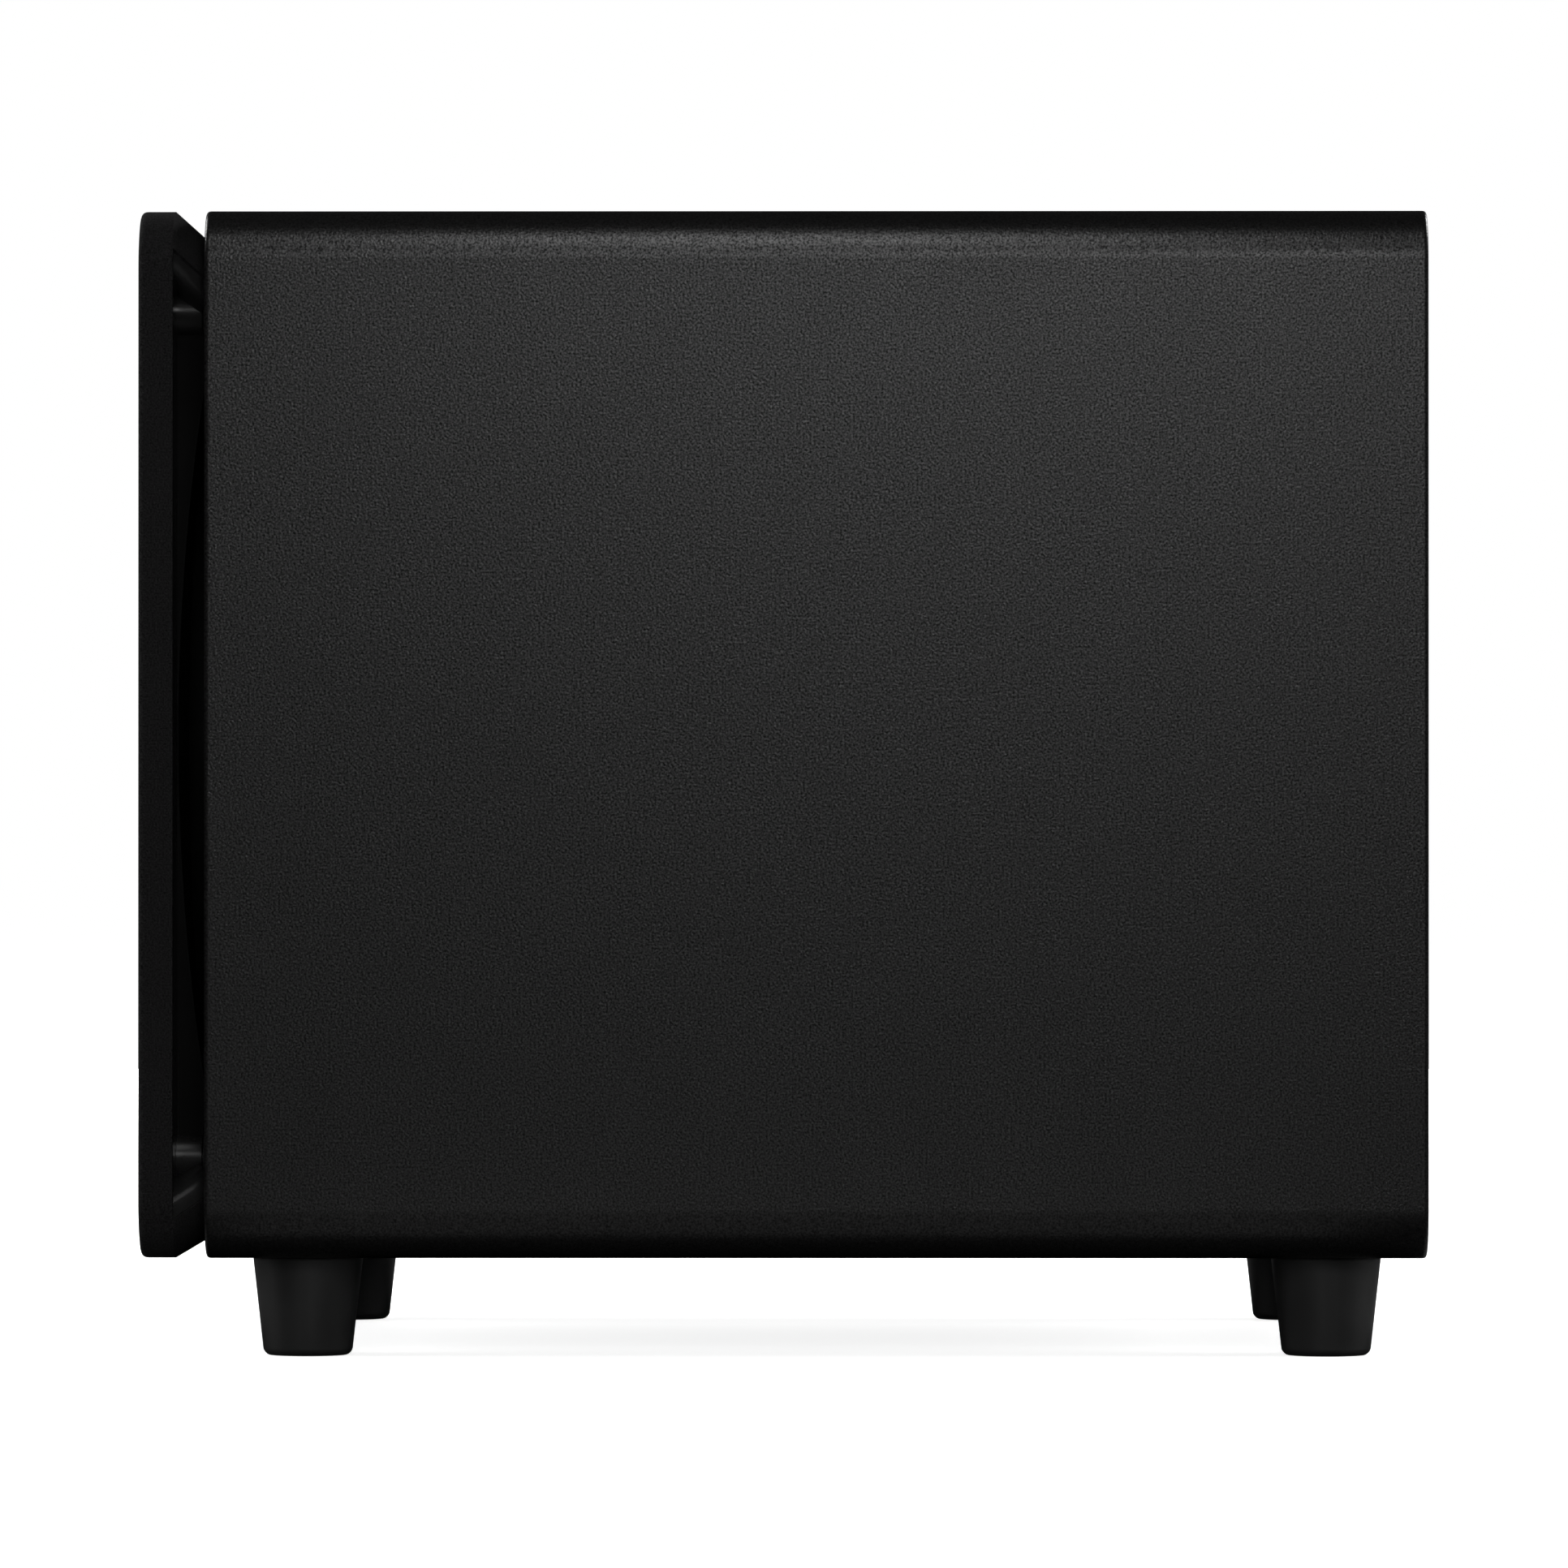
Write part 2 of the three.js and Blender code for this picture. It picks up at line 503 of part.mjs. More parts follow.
function wooferTerminal() {
  const z = MID_Z - WOOFER.ledgeRadius - 3;
  const y = SPIDER_LEDGE + 7;
  const block = solid(box(-14, 14, y - 6, y + 6, z - 2, z + 1.5));
  const tabs = [-10, 5].map((x) => box(x, x + 5, y + 5, y + 14, z - 1.2, z - 0.2));
  return geometryOf(join(block, ...tabs));
}

function wooferScrew(x, z) {
  return screw(4.4, 2.8, 2.2, 20, FLANGE_FRONT - GAP - 2.8, x, z);
}

// ---------- amplifier ----------
const at = ([x, dz]) => [x, MID_Z + dz];

function ampPlate() {
  const { halfWidth, halfHeight, radius, screwX, screwZ, screwHole } = AMP;
  const outline = roundedShape(halfWidth, halfHeight, radius);
  const round = (place, r) => outline.holes.push(roundHole(r, ...at(place)));
  const square = (place, hx, hz, dz = 0) =>
    outline.holes.push(roundedShape(hx, hz, 0.8, place[0], MID_Z + place[1] + dz, THREE.Path));
  round(PLACES.volume, KNOB.hole);
  round(PLACES.crossover, KNOB.hole);
  round(PLACES.led, 2.9);
  round(PLACES.rcaLeft, 4.6);
  round(PLACES.rcaRight, 4.6);
  square(PLACES.phase, SLIDER.phaseSlot / 2, SLIDER.slotHeight / 2);
  square(PLACES.mode, SLIDER.modeSlot / 2, SLIDER.slotHeight / 2);
  square(PLACES.rocker, ROCKER.openHalfWidth + 2, ROCKER.openHalfLength + 2);
  square(PLACES.inlet, INLET.bodyHalf[0] + 0.4, INLET.bodyHalf[1] + 0.4);
  for (const x of [-screwX, 0, screwX]) {
    for (const z of [-screwZ, 0, screwZ]) {
      if (x || z) outline.holes.push(roundHole(screwHole, x, MID_Z + z));
    }
  }
  return plate(outline, PLATE_IN, PLATE_OUT, 3);
}

function ampGasket() {
  const outline = roundedShape(AMP.halfWidth - 1, AMP.halfHeight - 1, AMP.radius);
  outline.holes.push(roundedShape(AMP.cutHalfWidth - 1, AMP.cutHalfHeight - 1, AMP.radius, 0, MID_Z,
    THREE.Path));
  return plate(outline, PANEL_FACE + GAP, PANEL_FACE + GAP + AMP.gasket, 3);
}

// An extruded heatsink: a base with upright fins, its profile in the X-Y plane.
function ampHeatsink() {
  const { halfWidth: half, fins, fin } = HEATSINK;
  const base = PLATE_OUT + GAP;
  const root = base + HEATSINK.base;
  const tip = CABINET_BACK - HEATSINK.backGap;
  const pitch = (2 * half - fin) / (fins - 1);
  const shape = new THREE.Shape();
  shape.moveTo(-half, base);
  shape.lineTo(half, base);
  for (let i = fins - 1; i >= 0; i--) {
    const left = -half + i * pitch;
    shape.lineTo(left + fin, i === fins - 1 ? base + 1 : root);
    shape.lineTo(left + fin, tip);
    shape.lineTo(left, tip);
    shape.lineTo(left, i === 0 ? base + 1 : root);
  }
  const geometry = new THREE.ExtrudeGeometry(shape, { depth: HEATSINK.height, bevelEnabled: false });
  return geometry.translate(0, 0, MID_Z + HEATSINK.low);
}

// The circuit board with the parts it carries: two control pots and two reservoir capacitors.
function ampBoard() {
  const { stand, thickness, left, right, low, high, potHalf, potDepth, canRadius, canLength } = BOARD;
  const face = PLATE_IN - stand;
  const board = solid(box(left, right, face - thickness, face, MID_Z + low, MID_Z + high));
  const pots = [PLACES.volume, PLACES.crossover].map(([x, dz]) => box(x - potHalf, x + potHalf,
    face - 0.2, face + potDepth, MID_Z + dz - potHalf, MID_Z + dz + potHalf));
  const cans = BOARD.canPlaces.map((x) =>
    rod(canRadius, face - canLength, face - thickness + 0.2, x, MID_Z + BOARD.canZ, 16));
  return geometryOf(join(board, ...pots, ...cans));
}

function powerTransformer() {
  const [x, z] = at(PLACES.transformer);
  const { hole, radius, thickness, chamfer } = TRANSFORMER;
  const back = PLATE_IN - GAP;
  const front = back - thickness;
  return turned([[hole, front + chamfer], [hole + chamfer, front], [radius - chamfer, front],
    [radius, front + chamfer], [radius, back - chamfer], [radius - chamfer, back],
    [hole + chamfer, back], [hole, back - chamfer]], ROUND, x, z);
}

function controlKnob(place) {
  const { radius, length, shaftRadius } = KNOB;
  const face = PLATE_OUT + 2 * GAP;
  return turned([[0, PLATE_IN - 18], [shaftRadius, PLATE_IN - 18], [shaftRadius, face], [radius, face],
    [radius, face + 1.5], [radius - 1.2, face + 2.5], [radius - 1.6, face + length - 1],
    [radius - 2.4, face + length], [0, face + length]], 20, ...at(place));
}

function switchSlider(place, slot) {
  const [x, z] = at(place);
  const rest = x - slot / 2 + SLIDER.nub / 2 + GAP;
  const half = SLIDER.nub / 2;
  const tongue = solid(box(rest - half, rest + half, PLATE_IN - 1, PLATE_OUT + 3.2, z - 1.8, z + 1.8));
  return geometryOf(join(tongue, box(rest - 7, rest + 7, PLATE_IN - 2, PLATE_IN - GAP, z - 4, z + 4)));
}

function rockerHousing() {
  const [x, z] = at(PLACES.rocker);
  const { openHalfWidth, openHalfLength } = ROCKER;
  const face = PLATE_OUT + GAP;
  const flange = box(x - openHalfWidth - 4, x + openHalfWidth + 4, face, face + 1.8,
    z - openHalfLength - 3.5, z + openHalfLength + 3.5);
  const body = box(x - openHalfWidth - 1.6, x + openHalfWidth + 1.6, PLATE_IN - 14, face + 0.5,
    z - openHalfLength - 1.6, z + openHalfLength + 1.6);
  const well = box(x - openHalfWidth, x + openHalfWidth, PLATE_IN - 9, face + 5,
    z - openHalfLength, z + openHalfLength);
  return geometryOf(cut(join(solid(flange), body), well));
}

const ROCKER_PIVOT = PLATE_OUT - 0.5;
// The rocker's side profile about its pivot, tilted to the off stop.
function powerRocker() {
  const [x, z] = at(PLACES.rocker);
  const { halfWidth, halfLength, tilt } = ROCKER;
  const points = [[2.2, 0], [4.4, halfLength], [-1.5, halfLength - 0.4], [-5, 2.5], [-5, -2.5],
    [-1.5, -halfLength + 0.4], [4.4, -halfLength]];
  const profile = sideProfile(points.reverse(), -halfWidth, halfWidth);
  return profile.rotateX(THREE.MathUtils.degToRad(-tilt)).translate(x, ROCKER_PIVOT, z);
}

function mainsInlet() {
  const [x, z] = at(PLACES.inlet);
  const { flangeHalf, bodyHalf, depth, cavityHalf, cavityZ, drawerHalf, drawerZ, drawerDepth } = INLET;
  const face = PLATE_OUT + GAP;
  const front = face + 2.5;
  const bottom = front - depth;
  const cavity = cavityZ + z;
  const flange = plate(roundedShape(...flangeHalf, 6, x, z), face, front, 4);
  const body = box(x - bodyHalf[0], x + bodyHalf[0], bottom - 2, face + 0.5,
    z - bodyHalf[1], z + bodyHalf[1]);
  const socket = box(x - cavityHalf[0], x + cavityHalf[0], bottom, front + 2,
    cavity - cavityHalf[1], cavity + cavityHalf[1]);
  const drawerWell = box(x - drawerHalf[0] - GAP, x + drawerHalf[0] + GAP, front - drawerDepth - 1, front + 2,
    z + drawerZ - drawerHalf[1] - GAP, z + drawerZ + drawerHalf[1] + GAP);
  const blades = [[-7, -2], [7, -2], [0, 2]].map(([dx, dz]) =>
    box(x + dx - 1, x + dx + 1, bottom - 1, front - 6, cavity + dz - 2, cavity + dz + 2));
  return geometryOf(join(cut(join(solid(flange), body), socket, drawerWell), ...blades));
}

function fuseDrawer() {
  const [x, z] = at(PLACES.inlet);
  const { drawerHalf, drawerZ, drawerDepth } = INLET;
  const front = PLATE_OUT + GAP + 2.5;
  const tray = solid(box(x - drawerHalf[0], x + drawerHalf[0], front - drawerDepth, front + 0.8,
    z + drawerZ - drawerHalf[1], z + drawerZ + drawerHalf[1]));
  const lip = box(x - 4, x + 4, front + 0.5, front + 2.2, z + drawerZ - 0.8, z + drawerZ + 0.8);
  return geometryOf(join(tray, lip));
}

function rcaJack(place) {
  const face = PLATE_OUT + GAP;
  const tip = face + 11;
  return turned([[0, face - 1], [1.6, face + 1], [1.6, tip], [3.2, tip], [4.1, tip - 0.8], [4.1, face + 2],
    [6.6, face + 2], [6.6, face], [4.2, face], [4.2, PLATE_IN - GAP], [6, PLATE_IN - GAP],
    [6, PLATE_IN - 11], [0, PLATE_IN - 11]], 16, ...at(place));
}

function statusLed() {
  const tip = PLATE_OUT + 2.2;
  return turned([[0, PLATE_IN - 5], [2.5, PLATE_IN - 5], [2.5, PLATE_OUT + 0.5], [1.8, tip - 0.6], [0, tip]],
    SMALL_ROUND, ...at(PLACES.led));
}

// The two-core lead from the amplifier board to the woofer's tabs, tied along the cabinet's inside.
function speakerLead() {
  const tabs = SPIDER_LEDGE + 7 + 14 + GAP;
  const boardFace = PLATE_IN - BOARD.stand - BOARD.thickness - 2 * GAP;
  const route = [[0, tabs, -80], [0, tabs + 14, -80], [-6, tabs + 34, -78], [-20, tabs + 60, -74],
    [-40, tabs + 85, -66], [-58, 10, -58], [-70, 50, -40], [-78, 90, -10], [-80, boardFace - 40, 15],
    [-84, boardFace - 18, 29], [-84, boardFace - 4, 30], [-84, boardFace, 30]];
  const curve = new THREE.CatmullRomCurve3(route.map(([x, y, dz]) => new THREE.Vector3(x, y, MID_Z + dz)));
  const section = new THREE.Shape();
  section.absarc(0, 0, LEAD_RADIUS, 0, 2 * Math.PI);
  return new THREE.ExtrudeGeometry(section, { steps: 28, extrudePath: curve, curveSegments: 4 });
}

// ---------- assembly ----------
add("cabinet_shell", cabinetShell(), "cabinet");
add("front_baffle", frontBaffle(), "cabinet");
add("rear_panel", rearPanel(), "cabinet");
add("window_brace", windowBrace(), "board");
add("acoustic_wadding", acousticWadding(), "wadding");
for (const [name, [x, y]] of Object.entries(footPlaces())) {
  add(`foot_${name}`, foot(x, y), "rubber");
  add(`foot_screw_${name}`, footScrew(x, y), "steel");
}

add("grille_frame", grilleFrame(), "plastic");
add("grille_cloth", grilleCloth(), "cloth");
for (const [name, [x, z]] of Object.entries(pegPlaces())) {
  add(`grille_peg_${name}`, grillePeg(x, z), "plastic");
  add(`grille_socket_${name}`, grilleSocket(x, z), "rubber");
}

add("woofer_basket", wooferBasket(), "blackSteel");
add("woofer_trim_ring", wooferTrimRing(), "rubber");
add("woofer_surround", surround(), "rubber");
add("woofer_cone", cone(), "cone");
add("dust_cap", dustCap(), "cone");
add("voice_coil_former", voiceCoilFormer(), "spider");
add("voice_coil", voiceCoil(), "copper");
add("woofer_spider", spider(), "spider");
add("magnet_top_plate", topPlate(), "steel");
add("magnet_ring", magnetRing(), "ferrite");
add("magnet_pole_yoke", poleYoke(), "steel");
add("woofer_terminal", wooferTerminal(), "nickel");
boltPlaces().forEach(([x, z], i) => add(`woofer_screw_${i + 1}`, wooferScrew(x, z), "blackSteel"));

add("amp_plate", ampPlate(), "plate");
add("amp_gasket", ampGasket(), "rubber");
add("amp_heatsink", ampHeatsink(), "plate");
add("amp_board", ampBoard(), "circuit");
add("power_transformer", powerTransformer(), "copper");
add("volume_knob", controlKnob(PLACES.volume), "plastic");
add("crossover_knob", controlKnob(PLACES.crossover), "plastic");
add("phase_switch", switchSlider(PLACES.phase, SLIDER.phaseSlot), "plastic");
add("mode_switch", switchSlider(PLACES.mode, SLIDER.modeSlot), "plastic");
add("rocker_housing", rockerHousing(), "plastic");
add("power_rocker", powerRocker(), "plastic");
add("mains_inlet", mainsInlet(), "plastic");
add("fuse_drawer", fuseDrawer(), "plastic");
add("rca_jack_left", rcaJack(PLACES.rcaLeft), "whitePlastic");
add("rca_jack_right", rcaJack(PLACES.rcaRight), "redPlastic");
add("status_led", statusLed(), "lens");
add("speaker_lead", speakerLead(), "redPlastic");

export default group;
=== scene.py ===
"""The looks of a powered subwoofer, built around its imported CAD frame. Metres, +Z up, grille at -Y."""
import math
import random

import bmesh
import bpy
from mathutils import Matrix, Vector


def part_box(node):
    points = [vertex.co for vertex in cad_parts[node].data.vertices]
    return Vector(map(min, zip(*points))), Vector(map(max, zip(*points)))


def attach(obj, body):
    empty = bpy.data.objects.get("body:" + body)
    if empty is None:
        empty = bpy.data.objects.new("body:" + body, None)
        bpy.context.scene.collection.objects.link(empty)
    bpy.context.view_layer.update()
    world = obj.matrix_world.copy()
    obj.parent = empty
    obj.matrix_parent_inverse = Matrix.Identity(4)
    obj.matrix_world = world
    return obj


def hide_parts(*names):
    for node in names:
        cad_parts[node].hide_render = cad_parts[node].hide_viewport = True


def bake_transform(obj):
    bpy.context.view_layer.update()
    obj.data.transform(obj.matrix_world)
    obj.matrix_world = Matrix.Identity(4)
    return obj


MM = 0.001

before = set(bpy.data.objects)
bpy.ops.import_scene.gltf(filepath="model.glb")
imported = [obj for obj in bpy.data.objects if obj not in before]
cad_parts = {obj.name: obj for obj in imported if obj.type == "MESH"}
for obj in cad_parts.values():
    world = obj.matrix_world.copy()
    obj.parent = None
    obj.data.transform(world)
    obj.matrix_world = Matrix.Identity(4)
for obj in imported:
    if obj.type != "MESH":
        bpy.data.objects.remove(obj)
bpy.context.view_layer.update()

# ---------- places taken from the frame ----------
CABINET_LOW, CABINET_HIGH = (Vector(corner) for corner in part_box("cabinet_shell"))
CENTRE_Z = (CABINET_LOW.z + CABINET_HIGH.z) / 2
CABINET_FRONT = CABINET_LOW.y
CABINET_BACK = CABINET_HIGH.y
HALF_WIDTH = CABINET_HIGH.x
HALF_HEIGHT = (CABINET_HIGH.z - CABINET_LOW.z) / 2
GRILLE_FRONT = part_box("grille_cloth")[0][1]
SKIRT_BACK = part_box("grille_cloth")[1][1]
PLATE_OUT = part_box("amp_plate")[1][1]
PLATE_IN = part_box("amp_plate")[0][1]
CORNERS = ("top_left", "top_right", "bottom_left", "bottom_right")
FEET = ("front_left", "front_right", "rear_left", "rear_right")

# ---------- sizes ----------
EDGE_RADIUS = 16 * MM
SHELL_WALL = 15 * MM
INNER_CORNER = 5 * MM
GRILLE_RADIUS = 19 * MM
GRILLE_EDGE = 2.6 * MM  # the rounding between the grille's front and its rim
RIM_DEPTH = 11 * MM
RIM_BACK = GRILLE_FRONT + RIM_DEPTH
WEB_OUTER = 149 * MM  # the side webs behind the rim, measured across the object
WEB_INNER = 146.5 * MM
BOSS_RADIUS = 7.3 * MM
BORE_RADIUS = 4.3 * MM
SOCKET_CLEARANCE = 11 * MM
CLOTH_THICKNESS = 0.8 * MM
CLOTH_GAP = 0.3 * MM
TOP_TAPER = 8.8 * MM
BOTTOM_TAPER = 6.5 * MM
SIDE_TAPER = 8 * MM
CORNER_DROP = 12.4 * MM  # how far down the corner the cloth on the skirt reaches
BARE_POINTS = 3  # outline points of each corner's curve that the cloth on the skirt leaves bare
FOOT_SEAT = 18  # mm from the floor to the bottom of a foot's bolt hole
PLATE_SCREW_X = 104  # mm from the middle of the plate
PLATE_SCREW_Z = 119
DIAL_SWEEP = math.radians(300)
FINE = 96  # steps round a large turned piece
MEDIUM = 48
SMALL = 24


def middle(node):
    """The middle of a CAD node's box."""
    low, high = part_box(node)
    return (Vector(low) + Vector(high)) / 2


# ---------- camera, floor and light ----------
CAMERA_PLACE = (3.64, 0.030, CABINET_LOW.z + 0.133)
CAMERA_YAW = math.radians(-0.491)  # turned from straight across the side
CAMERA_PITCH = math.radians(0.300)
CAMERA_LENS = 250.57
SEEN_WASH, OTHER_WASH = 95, 190  # watts


def make_camera():
    camera = bpy.data.objects.new("camera", bpy.data.cameras.new("camera"))
    camera.data.lens = CAMERA_LENS
    camera.data.sensor_width = 36
    camera.data.clip_end = 60
    level = Vector((-math.cos(CAMERA_YAW), math.sin(CAMERA_YAW), 0))
    view = level * math.cos(CAMERA_PITCH) + Vector((0, 0, math.sin(CAMERA_PITCH)))
    camera.location = CAMERA_PLACE
    camera.rotation_euler = view.to_track_quat("-Z", "Y").to_euler()
    bpy.context.collection.objects.link(camera)
    bpy.context.scene.camera = camera


def area_light(name, place, target, size, energy, gloss=True):
    """A soft box. size is (across, up) in metres, energy is in watts, and gloss lets it be reflected."""
    data = bpy.data.lights.new(name, "AREA")
    data.shape = "RECTANGLE"
    data.size, data.size_y = size
    data.energy = energy
    light = bpy.data.objects.new(name, data)
    light.location = place
    light.rotation_euler = (Vector(target) - Vector(place)).to_track_quat("-Z", "Y").to_euler()
    light.visible_camera = False
    light.visible_glossy = gloss
    bpy.context.collection.objects.link(light)


def make_lights():
    """The key, close above the side that the camera sees, and a larger box further out shape that side.
    The fills light the front and the back from above, and the washes light every side without a
    reflection. The bounces stand for what the floor sends back up. No lamp is seen."""
    top = CABINET_HIGH.z
    area_light("key", (0.775, -0.009, top + 0.61), (0.175, -0.009, 0.3), (0.2, 0.498), 1.52)
    area_light("side", (1.995, 0.113, top + 0.355), (0.175, 0.113, 0.25), (0.514, 0.339), 4.0)
    area_light("front_fill", (-0.5, -1.3, 1.2), (0, -0.2, 0.2), (0.9, 0.5), 14)
    area_light("back_fill", (-0.9, 1.3, 1.1), (0, 0.2, 0.2), (0.9, 0.5), 14)
    for name, way in (("right", (1, 0)), ("left", (-1, 0)), ("front", (0, -1)), ("rear", (0, 1))):
        place = Vector((4.2 * way[0], 4.2 * way[1], 0.6))
        energy = SEEN_WASH if name == "right" else OTHER_WASH
        area_light(f"{name}_wash", place, (0, 0, 0.2), (3, 2), energy, gloss=False)
        place = Vector((0.37 * way[0], 0.39 * way[1], 0.003))
        area_light(f"{name}_bounce", place, place + Vector((0, 0, 1)), (0.36, 0.36), 0.06)


def make_world():
    """A white band round the horizon under a dim ceiling, so that dark pieces keep their contrast."""
    world = bpy.data.worlds.new("studio")
    bpy.context.scene.world = world
    world.use_nodes = True
    nodes, links = world.node_tree.nodes, world.node_tree.links
    nodes.clear()
    place = nodes.new("ShaderNodeTexCoord")
    split = nodes.new("ShaderNodeSeparateXYZ")
    ramp = nodes.new("ShaderNodeValToRGB")
    back = nodes.new("ShaderNodeBackground")
    out = nodes.new("ShaderNodeOutputWorld")
    ramp.color_ramp.elements[0].position = 0.11
    ramp.color_ramp.elements[0].color = (1, 1, 1, 1)
    ramp.color_ramp.elements[1].position = 0.2
    ramp.color_ramp.elements[1].color = (0.05, 0.05, 0.052, 1)
    links.new(place.outputs["Generated"], split.inputs[0])
    links.new(split.outputs["Z"], ramp.inputs["Fac"])
    links.new(ramp.outputs["Color"], back.inputs["Color"])
    links.new(back.outputs[0], out.inputs[0])
    world.cycles_visibility.diffuse = False
    world.cycles_visibility.glossy = False


def make_floor():
    """A pale floor that brightens away from the object until it meets the white horizon."""
    mesh = bpy.data.meshes.new("floor")
    reach = 40
    corners = [(-reach, -reach, 0), (reach, -reach, 0), (reach, reach, 0), (-reach, reach, 0)]
    mesh.from_pydata(corners, [], [(0, 1, 2, 3)])
    floor = bpy.data.objects.new("floor", mesh)
    bpy.context.collection.objects.link(floor)
    material = bpy.data.materials.new("studio_floor")
    material.use_nodes = True
    nodes, links = material.node_tree.nodes, material.node_tree.links
    shader = nodes["Principled BSDF"]
    shader.inputs["Base Color"].default_value = (0.8, 0.8, 0.8, 1)
    shader.inputs["Roughness"].default_value = 0.9
    shader.inputs["Specular IOR Level"].default_value = 0.0
    shader.inputs["Emission Color"].default_value = (1, 1, 1, 1)
    place = nodes.new("ShaderNodeTexCoord")
    length = nodes.new("ShaderNodeVectorMath")
    length.operation = "LENGTH"
    glow = nodes.new("ShaderNodeMapRange")
    for socket, value in (("From Min", 0.25), ("From Max", 1.1), ("To Min", 0.8), ("To Max", 1.0)):
        glow.inputs[socket].default_value = value
    links.new(place.outputs["Object"], length.inputs[0])
    links.new(length.outputs["Value"], glow.inputs["Value"])
    links.new(glow.outputs["Result"], shader.inputs["Emission Strength"])
    mesh.materials.append(material)
    floor.visible_diffuse = False
    floor.visible_glossy = False


# ---------- materials ----------
NOISE_LOW, NOISE_HIGH = 0.3, 0.7  # most of a noise's values lie between these
WEAR_SCALE = 35  # cycles a metre of the slow change in polish


def finish(name, colour, roughness, metallic=0.0, specular=0.5, mottle=(60, 0.0), grain=(0, 0),
           pattern=None, coat=0.0, emission=0.0, polish=0.06, fleck=0.0):
    """A procedural material. mottle is (cycles a metre, strength) of colour change, and grain is (cycles
    a metre, height in mm) of fine relief. pattern is (name, pitch in mm, height in mm) of a woven or
    turned relief. polish is how far the roughness varies, and fleck how far the shine does. A colour
    that is one number is a grey."""
    if isinstance(colour, float):
        colour = (colour, colour, colour)
    material = bpy.data.materials.new(name)
    material.use_nodes = True
    nodes, links = material.node_tree.nodes, material.node_tree.links
    shader = nodes["Principled BSDF"]
    shader.inputs["Metallic"].default_value = metallic
    shader.inputs["Specular IOR Level"].default_value = specular
    shader.inputs["Coat Weight"].default_value = coat
    shader.inputs["Coat Roughness"].default_value = 0.15
    if emission:
        shader.inputs["Emission Color"].default_value = (*colour, 1)
        shader.inputs["Emission Strength"].default_value = emission
    place = nodes.new("ShaderNodeTexCoord").outputs["Object"]

    def noise(scale, detail=2.0):
        node = nodes.new("ShaderNodeTexNoise")
        node.inputs["Scale"].default_value = scale
        node.inputs["Detail"].default_value = detail
        links.new(place, node.inputs["Vector"])
        return node.outputs["Fac"]

    def ramp(source, low, high):
        node = nodes.new("ShaderNodeValToRGB")
        node.color_ramp.elements[0].position = NOISE_LOW
        node.color_ramp.elements[1].position = NOISE_HIGH
        node.color_ramp.elements[0].color = (*low, 1)
        node.color_ramp.elements[1].color = (*high, 1)
        links.new(source, node.inputs["Fac"])
        return node.outputs["Color"]

    def spread(source, low, high):
        node = nodes.new("ShaderNodeMapRange")
        node.inputs["From Min"].default_value = NOISE_LOW
        node.inputs["From Max"].default_value = NOISE_HIGH
        node.inputs["To Min"].default_value = low
        node.inputs["To Max"].default_value = high
        links.new(source, node.inputs["Value"])
        return node.outputs["Result"]

    def maths(kind, first, second=None):
        node = nodes.new("ShaderNodeMath")
        node.operation = kind
        for socket, value in zip(node.inputs, (first, second)):
            if isinstance(value, (int, float)):
                socket.default_value = value
            elif value is not None:
                links.new(value, socket)
        return node.outputs[0]

    def relief(height, depth, before=None):
        node = nodes.new("ShaderNodeBump")
        node.inputs["Distance"].default_value = depth * MM
        node.inputs["Strength"].default_value = 1.0
        links.new(height, node.inputs["Height"])
        if before:
            links.new(before, node.inputs["Normal"])
        return node.outputs["Normal"]

    low = tuple(c * (1 - mottle[1]) for c in colour)
    high = tuple(min(1.0, c * (1 + mottle[1])) for c in colour)
    tone = noise(mottle[0])
    if grain[0]:
        fine = noise(grain[0], 3.0)
        tone = maths("ADD", maths("MULTIPLY", fine, 0.5), maths("MULTIPLY", tone, 0.5))
    links.new(ramp(tone, low, high), shader.inputs["Base Color"])
    if fleck:
        shine = spread(noise(grain[0] * 1.2, 1.0), specular * (1 - fleck), specular * (1 + fleck))
        links.new(shine, shader.inputs["Specular IOR Level"])
    wear = spread(noise(WEAR_SCALE, 4.0), max(0.02, roughness - polish), min(1.0, roughness + polish))
    links.new(wear, shader.inputs["Roughness"])

    normal = None
    if pattern:
        height = PATTERNS[pattern[0]](nodes, links, maths, place, pattern[1])
        normal = relief(height, pattern[2])
    if grain[0]:
        normal = relief(fine, grain[1], normal)
    if normal:
        links.new(normal, shader.inputs["Normal"])
    return material


def split_axes(nodes, links, place):
    node = nodes.new("ShaderNodeSeparateXYZ")
    links.new(place, node.inputs[0])
    return node.outputs


def knit_height(nodes, links, maths, place, pitch_mm):
    """An even grid of small loops, the same on faces across any axis."""
    waves = 2 * math.pi / (pitch_mm * MM)
    x, y, z = (maths("SINE", maths("MULTIPLY", axis, waves)) for axis in split_axes(nodes, links, place))
    return maths("MULTIPLY", maths("ADD", maths("ADD", x, y), z), 0.33)


def turned_height(nodes, links, maths, place, pitch_mm):
    """Fine tool marks, or wire turns, that follow each other along Y."""
    waves = 2 * math.pi / (pitch_mm * MM)
    return maths("SINE", maths("MULTIPLY", split_axes(nodes, links, place)[1], waves))


def ring_height(nodes, links, maths, place, pitch_mm):
    """Fine circles round the woofer's axis."""
    x, _, z = split_axes(nodes, links, place)
    z = maths("SUBTRACT", z, CENTRE_Z)
    radius = maths("SQRT", maths("ADD", maths("MULTIPLY", x, x), maths("MULTIPLY", z, z)))
    return maths("SINE", maths("MULTIPLY", radius, 2 * math.pi / (pitch_mm * MM)))


PATTERNS = {"knit": knit_height, "turned": turned_height, "rings": ring_height}


